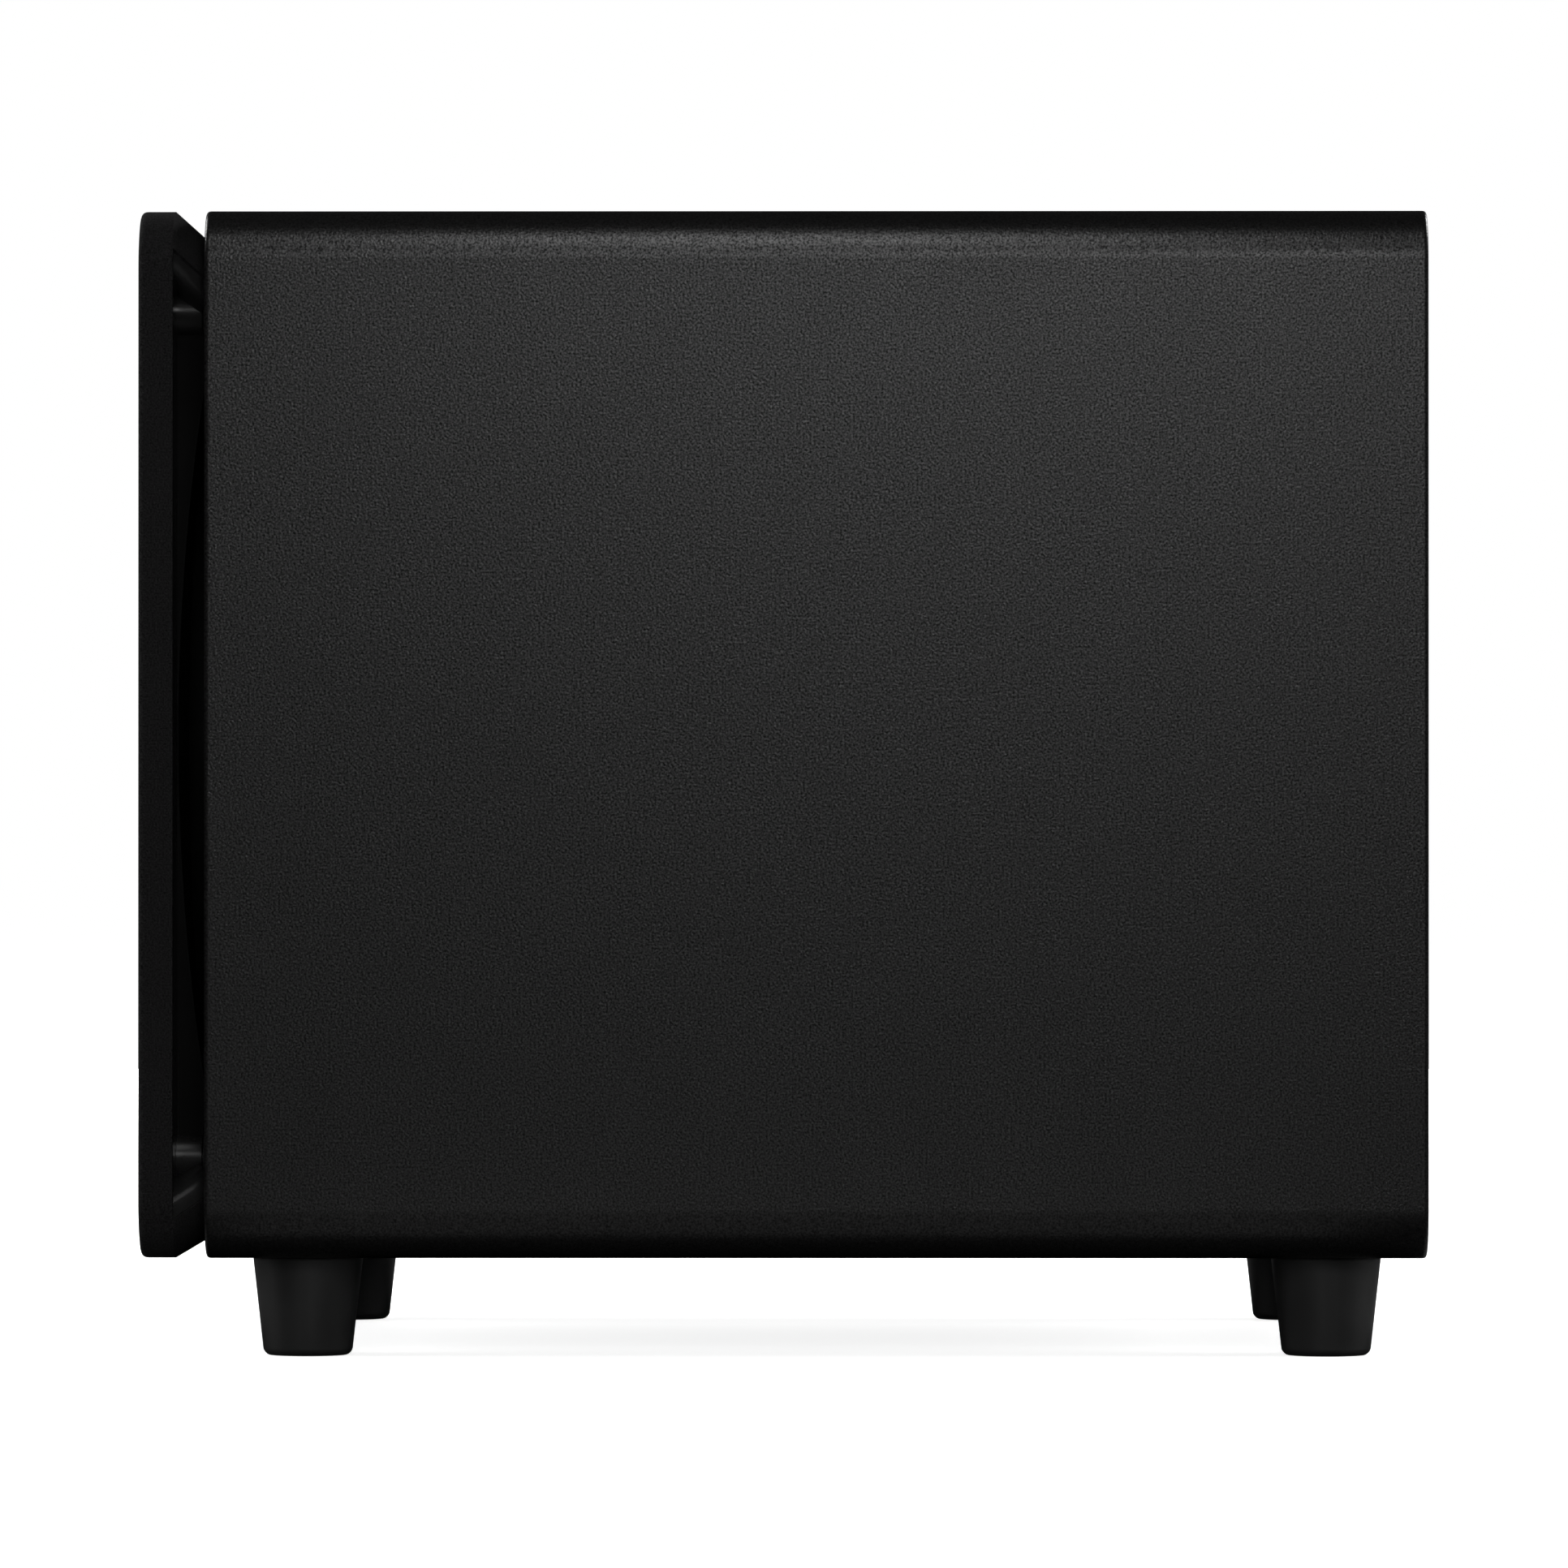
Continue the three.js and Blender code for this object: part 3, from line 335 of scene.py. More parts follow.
FINISHES = {
    "cabinet_finish": dict(colour=(0.005, 0.0049, 0.0049), roughness=0.325, mottle=(900, 0.55),
        grain=(1200, 0.1), polish=0.01, fleck=0.75),
    "panel_paint": dict(colour=0.012, roughness=0.6, specular=0.3, mottle=(80, 0.2),
        grain=(2600, 0.03)),
    "fibreboard": dict(colour=(0.30, 0.2, 0.11), roughness=0.85, mottle=(700, 0.3), grain=(1800, 0.08)),
    "wadding": dict(colour=(0.72, 0.71, 0.67), roughness=0.95, specular=0.1, mottle=(160, 0.15),
        grain=(420, 1.2)),
    "moulded_plastic": dict(colour=0.008, roughness=0.26, mottle=(60, 0.15), grain=(3200, 0.008)),
    # painted shade: the moulded plastic made darker and duller for the grille's webs, which lie in the rim's
    # shade
    "web_painted_shade_plastic": dict(colour=0.003, roughness=0.85, specular=0.08, mottle=(60, 0.15),
        grain=(1800, 0.02)),
    "grille_cloth": dict(colour=(0.0062, 0.0061, 0.0062), roughness=0.9, specular=0.12,
        mottle=(1800, 0.8), grain=(1800, 0.2), pattern=("knit", 0.8, 0.03)),
    "foot_rubber": dict(colour=0.011, roughness=0.42, specular=0.4, mottle=(90, 0.2),
        grain=(2600, 0.015)),
    "soft_rubber": dict(colour=0.009, roughness=0.6, specular=0.4, mottle=(90, 0.25),
        grain=(2200, 0.02)),
    "basket_paint": dict(colour=(0.011, 0.011, 0.012), roughness=0.5, specular=0.45, mottle=(120, 0.2),
        grain=(1500, 0.05)),
    "cone_paper": dict(colour=(0.016, 0.016, 0.0165), roughness=0.6, specular=0.35, mottle=(300, 0.35),
        grain=(900, 0.07), pattern=("rings", 2.4, 0.02)),
    "former": dict(colour=(0.36, 0.2, 0.08), roughness=0.5, mottle=(200, 0.2), grain=(1200, 0.02)),
    "copper_wire": dict(colour=(0.72, 0.3, 0.13), roughness=0.28, metallic=1.0, mottle=(120, 0.12),
        pattern=("turned", 0.7, 0.12)),
    "spider_cloth": dict(colour=(0.42, 0.25, 0.08), roughness=0.7, mottle=(200, 0.2),
        grain=(1500, 0.05), pattern=("knit", 0.9, 0.06)),
    "plated_steel": dict(colour=(0.55, 0.55, 0.53), roughness=0.3, metallic=1.0, mottle=(90, 0.12),
        grain=(1400, 0.01), pattern=("rings", 0.6, 0.006)),
    "black_steel": dict(colour=(0.02, 0.02, 0.021), roughness=0.35, metallic=0.6, mottle=(300, 0.3),
        grain=(2400, 0.012)),
    "ferrite": dict(colour=(0.03, 0.03, 0.033), roughness=0.65, mottle=(400, 0.35), grain=(1600, 0.03),
        pattern=("rings", 1.1, 0.008)),
    "gold_plate": dict(colour=(0.8, 0.58, 0.22), roughness=0.25, metallic=1.0, mottle=(300, 0.1),
        grain=(1800, 0.006)),
    "plate_paint": dict(colour=(0.012, 0.012, 0.0125), roughness=0.48, specular=0.4, mottle=(300, 0.3),
        grain=(1700, 0.05)),
    "black_aluminium": dict(colour=(0.022, 0.022, 0.024), roughness=0.38, metallic=0.7,
        mottle=(60, 0.2), grain=(1900, 0.012)),
    "circuit_board": dict(colour=(0.012, 0.1, 0.035), roughness=0.35, mottle=(250, 0.35),
        grain=(700, 0.02), coat=0.3),
    "transformer_wrap": dict(colour=(0.42, 0.27, 0.04), roughness=0.3, mottle=(120, 0.15),
        grain=(500, 0.05), coat=0.3),
    "knob_plastic": dict(colour=0.012, roughness=0.38, specular=0.45, mottle=(80, 0.2),
        grain=(2800, 0.012)),
    "inlet_plastic": dict(colour=0.014, roughness=0.42, specular=0.45, mottle=(80, 0.2),
        grain=(2400, 0.012)),
    "white_jack": dict(colour=(0.8, 0.8, 0.77), roughness=0.3, mottle=(200, 0.05), grain=(1800, 0.008)),
    "red_jack": dict(colour=(0.5, 0.016, 0.014), roughness=0.3, mottle=(200, 0.1), grain=(1800, 0.008)),
    "led_lens": dict(colour=(0.03, 0.16, 0.62), roughness=0.12, mottle=(400, 0.1), coat=0.6,
        emission=0.6),
    "lead_sleeve": dict(colour=(0.36, 0.012, 0.012), roughness=0.35, mottle=(200, 0.12),
        grain=(1500, 0.015)),
    "dark_sleeve": dict(colour=0.012, roughness=0.35, mottle=(200, 0.2), grain=(1500, 0.015)),
    "printing": dict(colour=(0.62, 0.62, 0.6), roughness=0.5, mottle=(500, 0.08), grain=(2400, 0.006)),
}


# ---------- mesh helpers ----------
def new_object(name, mesh, slot, body, replaces=(), material=None):
    """A finished piece: smooth faces with crisp edges, the material of its slot or the material given, and
    the body it rides on.
    """
    mesh.shade_smooth()
    mesh.set_sharp_from_angle(angle=math.radians(34))
    mesh.materials.clear()
    mesh.materials.append(MATERIALS[material or slot])
    piece = bpy.data.objects.new(name, mesh)
    bpy.context.collection.objects.link(piece)
    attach(piece, body)
    if replaces:
        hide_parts(*replaces)
    flat = piece.modifiers.new("flat_faces", "WEIGHTED_NORMAL")
    flat.keep_sharp = True
    return piece


def tidy_mesh(name, vertices, faces):
    mesh = bpy.data.meshes.new(name)
    mesh.from_pydata([tuple(v) for v in vertices], [], faces)
    work = bmesh.new()
    work.from_mesh(mesh)
    bmesh.ops.remove_doubles(work, verts=work.verts, dist=1e-6)
    bmesh.ops.recalc_face_normals(work, faces=work.faces)
    work.to_mesh(mesh)
    work.free()
    return mesh


def eased(points, radius, closed=True, steps=4):
    """The outline with each corner turned into a short curve that starts radius away from it."""
    points = [Vector(p) for p in points]
    count = len(points)
    out = []
    for i, corner in enumerate(points):
        if not closed and i in (0, count - 1):
            out.append(corner)
            continue
        before, after = points[i - 1], points[(i + 1) % count]
        reach = min(radius, 0.45 * (before - corner).length, 0.45 * (after - corner).length)
        start = corner + (before - corner).normalized() * reach
        end = corner + (after - corner).normalized() * reach
        for step in range(steps + 1):
            t = step / steps
            out.append(start * (1 - t) ** 2 + corner * 2 * t * (1 - t) + end * t ** 2)
    return out


def rounded_outline(half_x, half_z, radius, steps=12):
    """A rounded rectangle's [x, z] points about the origin, anticlockwise."""
    radius = max(radius, 0.05 * MM)
    corners = ((half_x - radius, -half_z + radius, -90), (half_x - radius, half_z - radius, 0),
               (-half_x + radius, half_z - radius, 90), (-half_x + radius, -half_z + radius, 180))
    points = []
    for cx, cz, start in corners:
        for step in range(steps + 1):
            angle = math.radians(start + 90 * step / steps)
            points.append(Vector((cx + radius * math.cos(angle), cz + radius * math.sin(angle))))
    return points


def skin(name, rings, closed=False, capped=True):
    """A mesh over rings of points. closed joins the last ring to the first. If not, capped fills the ends."""
    count = len(rings[0])
    vertices = [v for ring in rings for v in ring]
    spans = len(rings) if closed else len(rings) - 1
    faces = []
    for r in range(spans):
        here, there = r * count, ((r + 1) % len(rings)) * count
        for i in range(count):
            j = (i + 1) % count
            faces.append((here + i, here + j, there + j, there + i))
    if capped and not closed:
        faces.append(tuple(range(count)))
        faces.append(tuple(range((len(rings) - 1) * count, len(rings) * count)))
    return tidy_mesh(name, vertices, faces)


def turned(name, profile, place, steps=FINE, axis="Y", ease=0.4, flutes=0, flute_depth=0.0,
           flute_span=(0, 0), smooth_steps=4):
    """A mesh turned about Y or Z through place. profile is [radius, distance along the axis] in mm.
    It starts and ends on the axis, or closes on itself. Flutes groove the rows inside flute_span."""
    on_axis = profile[0][0] == 0 and profile[-1][0] == 0
    line = eased([(r * MM, a * MM) for r, a in profile], ease * MM, closed=not on_axis, steps=smooth_steps)
    rings = []
    for radius, along in line:
        ring = []
        for step in range(steps):
            angle = 2 * math.pi * step / steps
            r = radius
            if flutes and flute_span[0] * MM <= along <= flute_span[1] * MM:
                r -= flute_depth * MM * (0.5 + 0.5 * math.cos(flutes * angle))
            u, v = r * math.cos(angle), r * math.sin(angle)
            ring.append((u, along, v) if axis == "Y" else (u, v, along))
        rings.append([Vector(p) + Vector(place) for p in ring])
    return skin(name, rings, closed=not on_axis, capped=False)


def slab(name, outline, y0, y1, edge, centre=(0, 0)):
    """A plate across Y with eased edges. outline(inset) gives its [x, z] points, shrunk by inset."""
    rings = []
    for inset, y in eased([(edge * 4, y0), (0, y0), (0, y1), (edge * 4, y1)], edge, closed=False, steps=3):
        points = outline(inset)
        rings.append([Vector((p.x + centre[0], y, p.y + centre[1])) for p in points])
    return skin(name, rings)


def block_mesh(name, low, high, ease):
    """A box between two corners with rounded edges."""
    low, high = Vector(low), Vector(high)
    work = bmesh.new()
    bmesh.ops.create_cube(work, size=1)
    bmesh.ops.scale(work, vec=high - low, verts=work.verts)
    bmesh.ops.translate(work, vec=(low + high) / 2, verts=work.verts)
    bmesh.ops.bevel(work, geom=work.edges[:], offset=ease, segments=3, profile=0.7, affect="EDGES")
    mesh = bpy.data.meshes.new(name)
    work.to_mesh(mesh)
    work.free()
    return mesh


def tube_mesh(name, points, radius, sides=12):
    """A round tube along points, with closed ends, its section carried along without twisting."""
    points = [Vector(p) for p in points]
    rings = []
    side = None
    for i, point in enumerate(points):
        ahead = points[min(i + 1, len(points) - 1)] - points[max(i - 1, 0)]
        ahead.normalize()
        if side is None:
            side = ahead.orthogonal().normalized()
        side = (side - ahead * side.dot(ahead)).normalized()
        other = ahead.cross(side)
        rings.append([point + side * radius * math.cos(a) + other * radius * math.sin(a)
                      for a in (2 * math.pi * k / sides for k in range(sides))])
    return skin(name, rings)


def reshaped(mesh, kind, **settings):
    """The mesh with one modifier applied."""
    holder = bpy.data.objects.new("holder", mesh)
    bpy.context.collection.objects.link(holder)
    modifier = holder.modifiers.new("change", kind)
    for name, value in settings.items():
        setattr(modifier, name, value)
    bpy.context.view_layer.update()
    graph = bpy.context.evaluated_depsgraph_get()
    result = bpy.data.meshes.new_from_object(holder.evaluated_get(graph))
    bpy.data.objects.remove(holder)
    return result


def combine(mesh, tools, operation="DIFFERENCE"):
    """mesh with each tool mesh in turn cut away, joined or intersected."""
    for tool in tools:
        helper = bpy.data.objects.new("tool", tool)
        bpy.context.collection.objects.link(helper)
        mesh = reshaped(mesh, "BOOLEAN", operation=operation, solver="MANIFOLD", object=helper)
        bpy.data.objects.remove(helper)
    return mesh


def bevelled(mesh, width):
    """The mesh with its crisp edges rounded."""
    limit = math.radians(35)
    return reshaped(mesh, "BEVEL", width=width, segments=2, limit_method="ANGLE", angle_limit=limit)


def rod_mesh(radius, y0, y1, x, z, sides=MEDIUM):
    return turned("rod", [(0, y0 / MM), (radius / MM, y0 / MM), (radius / MM, y1 / MM), (0, y1 / MM)],
                  (x, 0, z), sides, ease=0.01, smooth_steps=1)


def box_mesh(x0, x1, y0, y1, z0, z1):
    low, high = Vector((x0, y0, z0)), Vector((x1, y1, z1))
    corners = [(x, y, z) for x in (low.x, high.x) for y in (low.y, high.y) for z in (low.z, high.z)]
    faces = [(0, 1, 3, 2), (4, 6, 7, 5), (0, 4, 5, 1), (2, 3, 7, 6), (0, 2, 6, 4), (1, 5, 7, 3)]
    return tidy_mesh("box", corners, faces)


def keep_node(node, slot, bevel=0.25 * MM):
    """A CAD node that stays, with eased edges and a finished material."""
    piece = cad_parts[node]
    piece.data.materials.clear()
    piece.data.materials.append(MATERIALS[slot])
    if bevel:
        modifier = piece.modifiers.new("edges", "BEVEL")
        modifier.width = bevel
        modifier.segments = 2
        modifier.limit_method = "ANGLE"
        modifier.angle_limit = math.radians(40)
    return piece


# ---------- cabinet ----------
def make_cabinet():
    edge = 1.5 * MM
    corners = [(0, CABINET_FRONT), (0, CABINET_BACK),
               (SHELL_WALL, CABINET_BACK), (SHELL_WALL, CABINET_FRONT)]
    rings = []
    for inset, y in eased(corners, edge, steps=5):
        radius = EDGE_RADIUS - inset * (EDGE_RADIUS - INNER_CORNER) / SHELL_WALL
        outline = rounded_outline(HALF_WIDTH - inset, HALF_HEIGHT - inset, radius, 20)
        rings.append([Vector((p.x, y, p.y + CENTRE_Z)) for p in outline])
    mesh = skin("cabinet_wrap", rings, closed=True)
    new_object("cabinet_wrap", mesh, "cabinet_finish", "cabinet", ["cabinet_shell"])


def bolt_places():
    return [middle(f"woofer_screw_{i}") for i in range(1, 9)]


def make_baffle():
    low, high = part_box("front_baffle")
    half_x, half_z = high[0], (high[2] - low[2]) / 2
    board = slab("baffle_board", lambda inset: rounded_outline(half_x - inset, half_z - inset,
                 INNER_CORNER - inset), low[1], high[1], 0.5 * MM, (0, CENTRE_Z))
    tools = [rod_mesh(116.5 * MM, low[1] - MM, high[1] + MM, 0, CENTRE_Z, FINE),
             rod_mesh(130 * MM, low[1] - MM, low[1] + 4.5 * MM, 0, CENTRE_Z, FINE)]
    tools += [rod_mesh(8 * MM, low[1] - MM, high[1] + MM, middle(f"grille_socket_{c}").x,
                       middle(f"grille_socket_{c}").z) for c in CORNERS]
    tools += [rod_mesh(2.4 * MM, low[1] - MM, high[1] + MM, p.x, p.z, SMALL) for p in bolt_places()]
    mesh = combine(board, tools)
    new_object("baffle_board", mesh, "panel_paint", "cabinet", ["front_baffle"])


def make_feet():
    top = CABINET_LOW.z / MM - 0.3
    hole, low_radius, high_radius = 5.5, 14.3, 17.6
    profile = [(0, FOOT_SEAT), (hole, FOOT_SEAT), (hole, 0), (low_radius - 1.5, 0), (low_radius, 1.5),
               (high_radius - 0.1, top - 1.5), (high_radius, top), (0, top)]
    for foot in FEET:
        place = middle(f"foot_{foot}")
        mesh = turned(f"tapered_foot_{foot}", profile, (place.x, place.y, 0), FINE, "Z", ease=0.9)
        new_object(f"tapered_foot_{foot}", mesh, "foot_rubber", "cabinet", [f"foot_{foot}"])
        head = screw_mesh(f"foot_bolt_{foot}", 4.6, 3.0, 2.2, 25)
        head.transform(Matrix.Rotation(math.radians(90), 4, "X"))
        head.transform(Matrix.Translation((place.x, place.y, (FOOT_SEAT - 3.3) * MM)))
        new_object(f"foot_bolt_{foot}", head, "plated_steel", "cabinet", [f"foot_screw_{foot}"])


def make_wadding():
    """A loose slab of wadding: a crowned, uneven block, thinner at its edges."""
    low, high = (Vector(c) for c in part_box("acoustic_wadding"))
    size = high - low
    columns, rows = 44, 24
    random.seed(7)
    lumps = [(random.random(), random.random(), random.uniform(0.05, 0.16)) for _ in range(40)]

    def top(u, v):
        crown = min(1.0, 5.5 * min(u, 1 - u, v, 1 - v)) ** 0.5
        puff = sum(w * math.exp(-((u - a) ** 2 + (v - b) ** 2 * 0.4) / (w * w * 0.12)) for a, b, w in lumps)
        return 0.35 + 0.5 * crown + min(0.15, 0.35 * puff * crown)

    vertices, faces = [], []
    for level in (0, 1):
        for j in range(rows + 1):
            for i in range(columns + 1):
                u, v = i / columns, j / rows
                height = size.z * (top(u, v) if level else 0)
                pull = 0.02 * (1 - min(1.0, 8 * min(u, 1 - u, v, 1 - v))) * (1 if level else 0)
                x = low.x + size.x * (u + (0.5 - u) * pull * 2)
                y = low.y + size.y * (v + (0.5 - v) * pull * 2)
                vertices.append((x, y, low.z + height))
    per_level = (columns + 1) * (rows + 1)
    for level in (0, 1):
        for j in range(rows):
            for i in range(columns):
                a = level * per_level + j * (columns + 1) + i
                faces.append((a, a + 1, a + columns + 2, a + columns + 1))
    rim = list(range(columns)) + [columns + j * (columns + 1) for j in range(rows)]
    rim += [per_level - 1 - i for i in range(columns)]
    rim += [(rows - j) * (columns + 1) for j in range(rows)]
    for k, a in enumerate(rim):
        b = rim[(k + 1) % len(rim)]
        faces.append((a, b, b + per_level, a + per_level))
    mesh = tidy_mesh("wadding_pad", vertices, faces)
    piece = new_object("wadding_pad", mesh, "wadding", "cabinet", ["acoustic_wadding"])


# ---------- grille ----------
def grille_outline(inset, down=0.0, up=0.0, side=0.0, steps=10):
    """The grille's rounded outline as (x, z) points, and the number of points in each corner. Each corner
    has a point where the cloth's edge runs."""
    edge_angle = math.degrees(math.asin((GRILLE_RADIUS - CORNER_DROP) / GRILLE_RADIUS))
    spread = [edge_angle * k / BARE_POINTS for k in range(BARE_POINTS + 1)]
    spread += [edge_angle + (90 - edge_angle) * k / steps for k in range(1, steps + 1)]
    radius = GRILLE_RADIUS - inset
    half_x = HALF_WIDTH - inset - side
    low, high = -HALF_HEIGHT + inset + up, HALF_HEIGHT - inset - down
    points = []
    for sx, sz in ((1, -1), (1, 1), (-1, 1), (-1, -1)):
        angles = spread if sx * sz > 0 else spread[::-1]
        for angle in angles:
            a = math.radians(angle)
            cz = high - radius if sz > 0 else low + radius
            x = sx * (half_x - radius + radius * math.cos(a))
            points.append(Vector((x, cz + sz * radius * math.sin(a))))
    return points, len(spread)


def grille_ring(y, inset, reach=0.0):
    """One ring of the grille's outer form. reach goes from 0 at the rim to 1 at the skirt's back edge."""
    points, _ = grille_outline(inset, TOP_TAPER * reach, BOTTOM_TAPER * reach, SIDE_TAPER * reach)
    return [Vector((p.x, y, p.y + CENTRE_Z)) for p in points]


def grille_form(inset, extra=0.0):
    """The closed outer form of the grille, shrunk by inset, with the skirt carried on by extra."""
    front = GRILLE_FRONT + inset
    rings = []
    for trim, y in eased([(GRILLE_EDGE * 2, front), (0, front), (0, RIM_BACK)], GRILLE_EDGE, False, 5):
        rings.append(grille_ring(y, inset + trim))
    reach = 1 + extra / (SKIRT_BACK - RIM_BACK)
    rings.append(grille_ring(SKIRT_BACK + extra, inset, reach))
    return skin("form", rings)


def side_prism(x0, x1, lift=0.0):
    """The open stretch at one side, between the wrapped corners, its sloping ends moved out by lift."""
    run = SKIRT_BACK - RIM_BACK
    beyond = 2 * MM
    grow = (run + beyond) / run
    low, high = CABINET_LOW.z + CORNER_DROP + lift, CABINET_HIGH.z - CORNER_DROP - lift
    profile = [(RIM_BACK, low), (SKIRT_BACK + beyond, low + BOTTOM_TAPER * grow),
               (SKIRT_BACK + beyond, high - TOP_TAPER * grow), (RIM_BACK, high)]
    return skin("prism", [[Vector((x, y, z)) for y, z in profile] for x in (x0, x1)])


def arch_prism(half_x):
    """The shallow arch cut into the back edge of each side web."""
    half, radius, steps = 124 * MM, 735 * MM, 40
    profile = []
    for k in range(steps + 1):
        dz = -half + 2 * half * k / steps
        profile.append((RIM_BACK + 0.2 * MM + dz * dz / (2 * radius), CENTRE_Z + dz))
    profile += [(CABINET_FRONT + 3 * MM, CENTRE_Z + half), (CABINET_FRONT + 3 * MM, CENTRE_Z - half)]
    return skin("arch", [[Vector((x, y, z)) for y, z in profile] for x in (-half_x, half_x)])


def cove_mesh(side, end):
    """The curved gusset that joins a side web to the skirt, under the cloth's sloping edge.
    side is 1 or -1 along X, and end is 1 at the top or -1 at the bottom."""
    web, steps = WEB_INNER + 0.1 * MM, 10
    taper = TOP_TAPER if end > 0 else BOTTOM_TAPER
    depth = 13 * MM
    rings = []
    for y, reach in ((RIM_BACK - 1.0 * MM, 0.0), (SKIRT_BACK - 0.1 * MM, 1.0)):
        outer = HALF_WIDTH - 2.2 * MM - SIDE_TAPER * reach
        edge_z = HALF_HEIGHT - CORNER_DROP - taper * reach
        ring = [(web, edge_z + 2.5 * MM), (outer, edge_z + 2.5 * MM), (outer, edge_z - 0.8 * MM)]
        for k in range(1, steps + 1):
            a = math.radians(90 * k / steps)
            ring.append((web + (outer - web) * math.cos(a), edge_z - 0.8 * MM - depth * math.sin(a)))
        rings.append([Vector((side * x, y, CENTRE_Z + end * z)) for x, z in ring])
    return skin("cove", rings)


def make_grille_frame():
    """The moulding: a rim with a window, the skirt, a web down each side, gussets and four bored bosses.
    The webs' faces away from the bosses get a darker, duller copy of the plastic: painted shade for the shade
    of the rim."""
    inset = CLOTH_THICKNESS + CLOTH_GAP
    window = slab("window", lambda i: rounded_outline(140 * MM, 146 * MM, 18 * MM), GRILLE_FRONT - 5 * MM,
                  CABINET_FRONT + 5 * MM, 0.1 * MM, (0, CENTRE_Z))
    between_webs = box_mesh(-WEB_INNER, WEB_INNER, RIM_BACK, CABINET_FRONT + 6 * MM,
                            CABINET_LOW.z, CABINET_HIGH.z)
    pocket = combine(grille_form(inset + 3 * MM, 5 * MM), [between_webs], "INTERSECT")
    beyond = 2 * HALF_WIDTH
    open_sides = [side_prism(WEB_OUTER, beyond, 0.9 * MM), side_prism(-beyond, -WEB_OUTER, 0.9 * MM)]
    mesh = combine(grille_form(inset), [window, *open_sides, arch_prism(WEB_OUTER + 5 * MM), pocket])
    mesh = combine(mesh, [cove_mesh(side, end) for side in (-1, 1) for end in (-1, 1)], "UNION")
    boss_back = CABINET_FRONT - 1.9 * MM
    places = [middle(f"grille_peg_{c}") for c in CORNERS]
    clearances = [rod_mesh(SOCKET_CLEARANCE, boss_back + 0.1 * MM, CABINET_FRONT + 6 * MM, p.x, p.z)
                  for p in places]
    mesh = combine(mesh, clearances)
    bosses = [rod_mesh(BOSS_RADIUS, RIM_BACK - 2 * MM, boss_back, p.x, p.z) for p in places]
    mesh = combine(mesh, bosses, "UNION")
    bores = [rod_mesh(BORE_RADIUS, RIM_BACK - 1.3 * MM, CABINET_FRONT, p.x, p.z, SMALL) for p in places]
    mesh = combine(mesh, bores)
    mesh = bevelled(mesh, 0.35 * MM)
    new_object("grille_moulding", mesh, "moulded_plastic", "grille", ["grille_frame"])
    # a second material, a darker and duller copy of the plastic, for the web faces: painted shade
    mesh.materials.append(MATERIALS["web_painted_shade_plastic"])
    boss_reach = BOSS_RADIUS + 1.2 * MM
    for face in mesh.polygons:
        spot = Vector((face.center.x, face.center.z))
        on_shaded_web = abs(spot.x) < WEB_OUTER + MM and face.center.y > RIM_BACK - 0.5 * MM
        if on_shaded_web and min((spot - p.xz).length for p in places) > boss_reach:
            face.material_index = 1


def make_grille_cloth():
    """One sheet stretched over the front, round the rim and onto the skirt at the top and bottom."""
    start_points, per_corner = grille_outline(0)
    edge = [(GRILLE_EDGE * 2, GRILLE_FRONT), (0, GRILLE_FRONT), (0, RIM_BACK)]
    rings = [grille_ring(y, trim) for trim, y in eased(edge, GRILLE_EDGE, False, 6)]
    steps = 4
    for k in range(1, steps + 1):
        rings.append(grille_ring(RIM_BACK + (SKIRT_BACK - RIM_BACK) * k / steps, 0, k / steps))
    rim_row = len(rings) - 1 - steps
    # the columns on the straight sides, up to the point where the cloth's edge leaves the rim
    count = len(start_points)
    bare = set()
    for corner in range(4):
        first = corner * per_corner
        for k in range(BARE_POINTS):
            bare.add(first + k if corner in (1, 3) else first + per_corner - 1 - k)
    vertices = [v for ring in rings for v in ring]
    faces = [tuple(range(count))]
    for r in range(len(rings) - 1):
        for i in range(count):
            j = (i + 1) % count
            if r >= rim_row and (i in bare or j in bare):
                continue
            faces.append((r * count + i, r * count + j, (r + 1) * count + j, (r + 1) * count + i))
    fold = len(vertices)
    vertices += grille_ring(RIM_BACK, GRILLE_EDGE)
    for i in range(count):
        j = (i + 1) % count
        if i in bare or j in bare:
            faces.append((rim_row * count + i, rim_row * count + j, fold + j, fold + i))
    mesh = tidy_mesh("cloth_skin", vertices, faces)
    centre = Vector((0, RIM_BACK, CENTRE_Z))
    first_face = mesh.polygons[0]
    if first_face.normal.dot(first_face.center - centre) < 0:
        mesh.flip_normals()
    loose = bmesh.new()
    loose.from_mesh(mesh)
    bmesh.ops.delete(loose, geom=[v for v in loose.verts if not v.link_faces], context="VERTS")
    loose.to_mesh(mesh)
    loose.free()
    mesh = reshaped(mesh, "SOLIDIFY", thickness=CLOTH_THICKNESS, offset=-1)
    piece = new_object("stretched_cloth", mesh, "grille_cloth", "grille", ["grille_cloth"])


def make_grille_fixings():
    peg = [(0, 0), (4, 0), (4, 18), (3, 19), (4, 20.5), (3.2, 23), (0, 24)]
    face = CABINET_FRONT - 0.3 * MM
    cup = [(0, 17), (7.6, 17), (7.6, 0), (10, 0), (10, -1), (4.4, -1), (4.4, 15.5), (0, 15.5)]
    for corner in CORNERS:
        low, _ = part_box(f"grille_peg_{corner}")
        spot = middle(f"grille_peg_{corner}")
        mesh = turned(f"fixing_peg_{corner}", peg, (spot.x, low[1], spot.z), MEDIUM, ease=0.5)
        new_object(f"fixing_peg_{corner}", mesh, "moulded_plastic", "grille", [f"grille_peg_{corner}"])
        mesh = turned(f"fixing_cup_{corner}", cup, (spot.x, face, spot.z), MEDIUM, ease=0.3)
        new_object(f"fixing_cup_{corner}", mesh, "soft_rubber", "cabinet", [f"grille_socket_{corner}"])


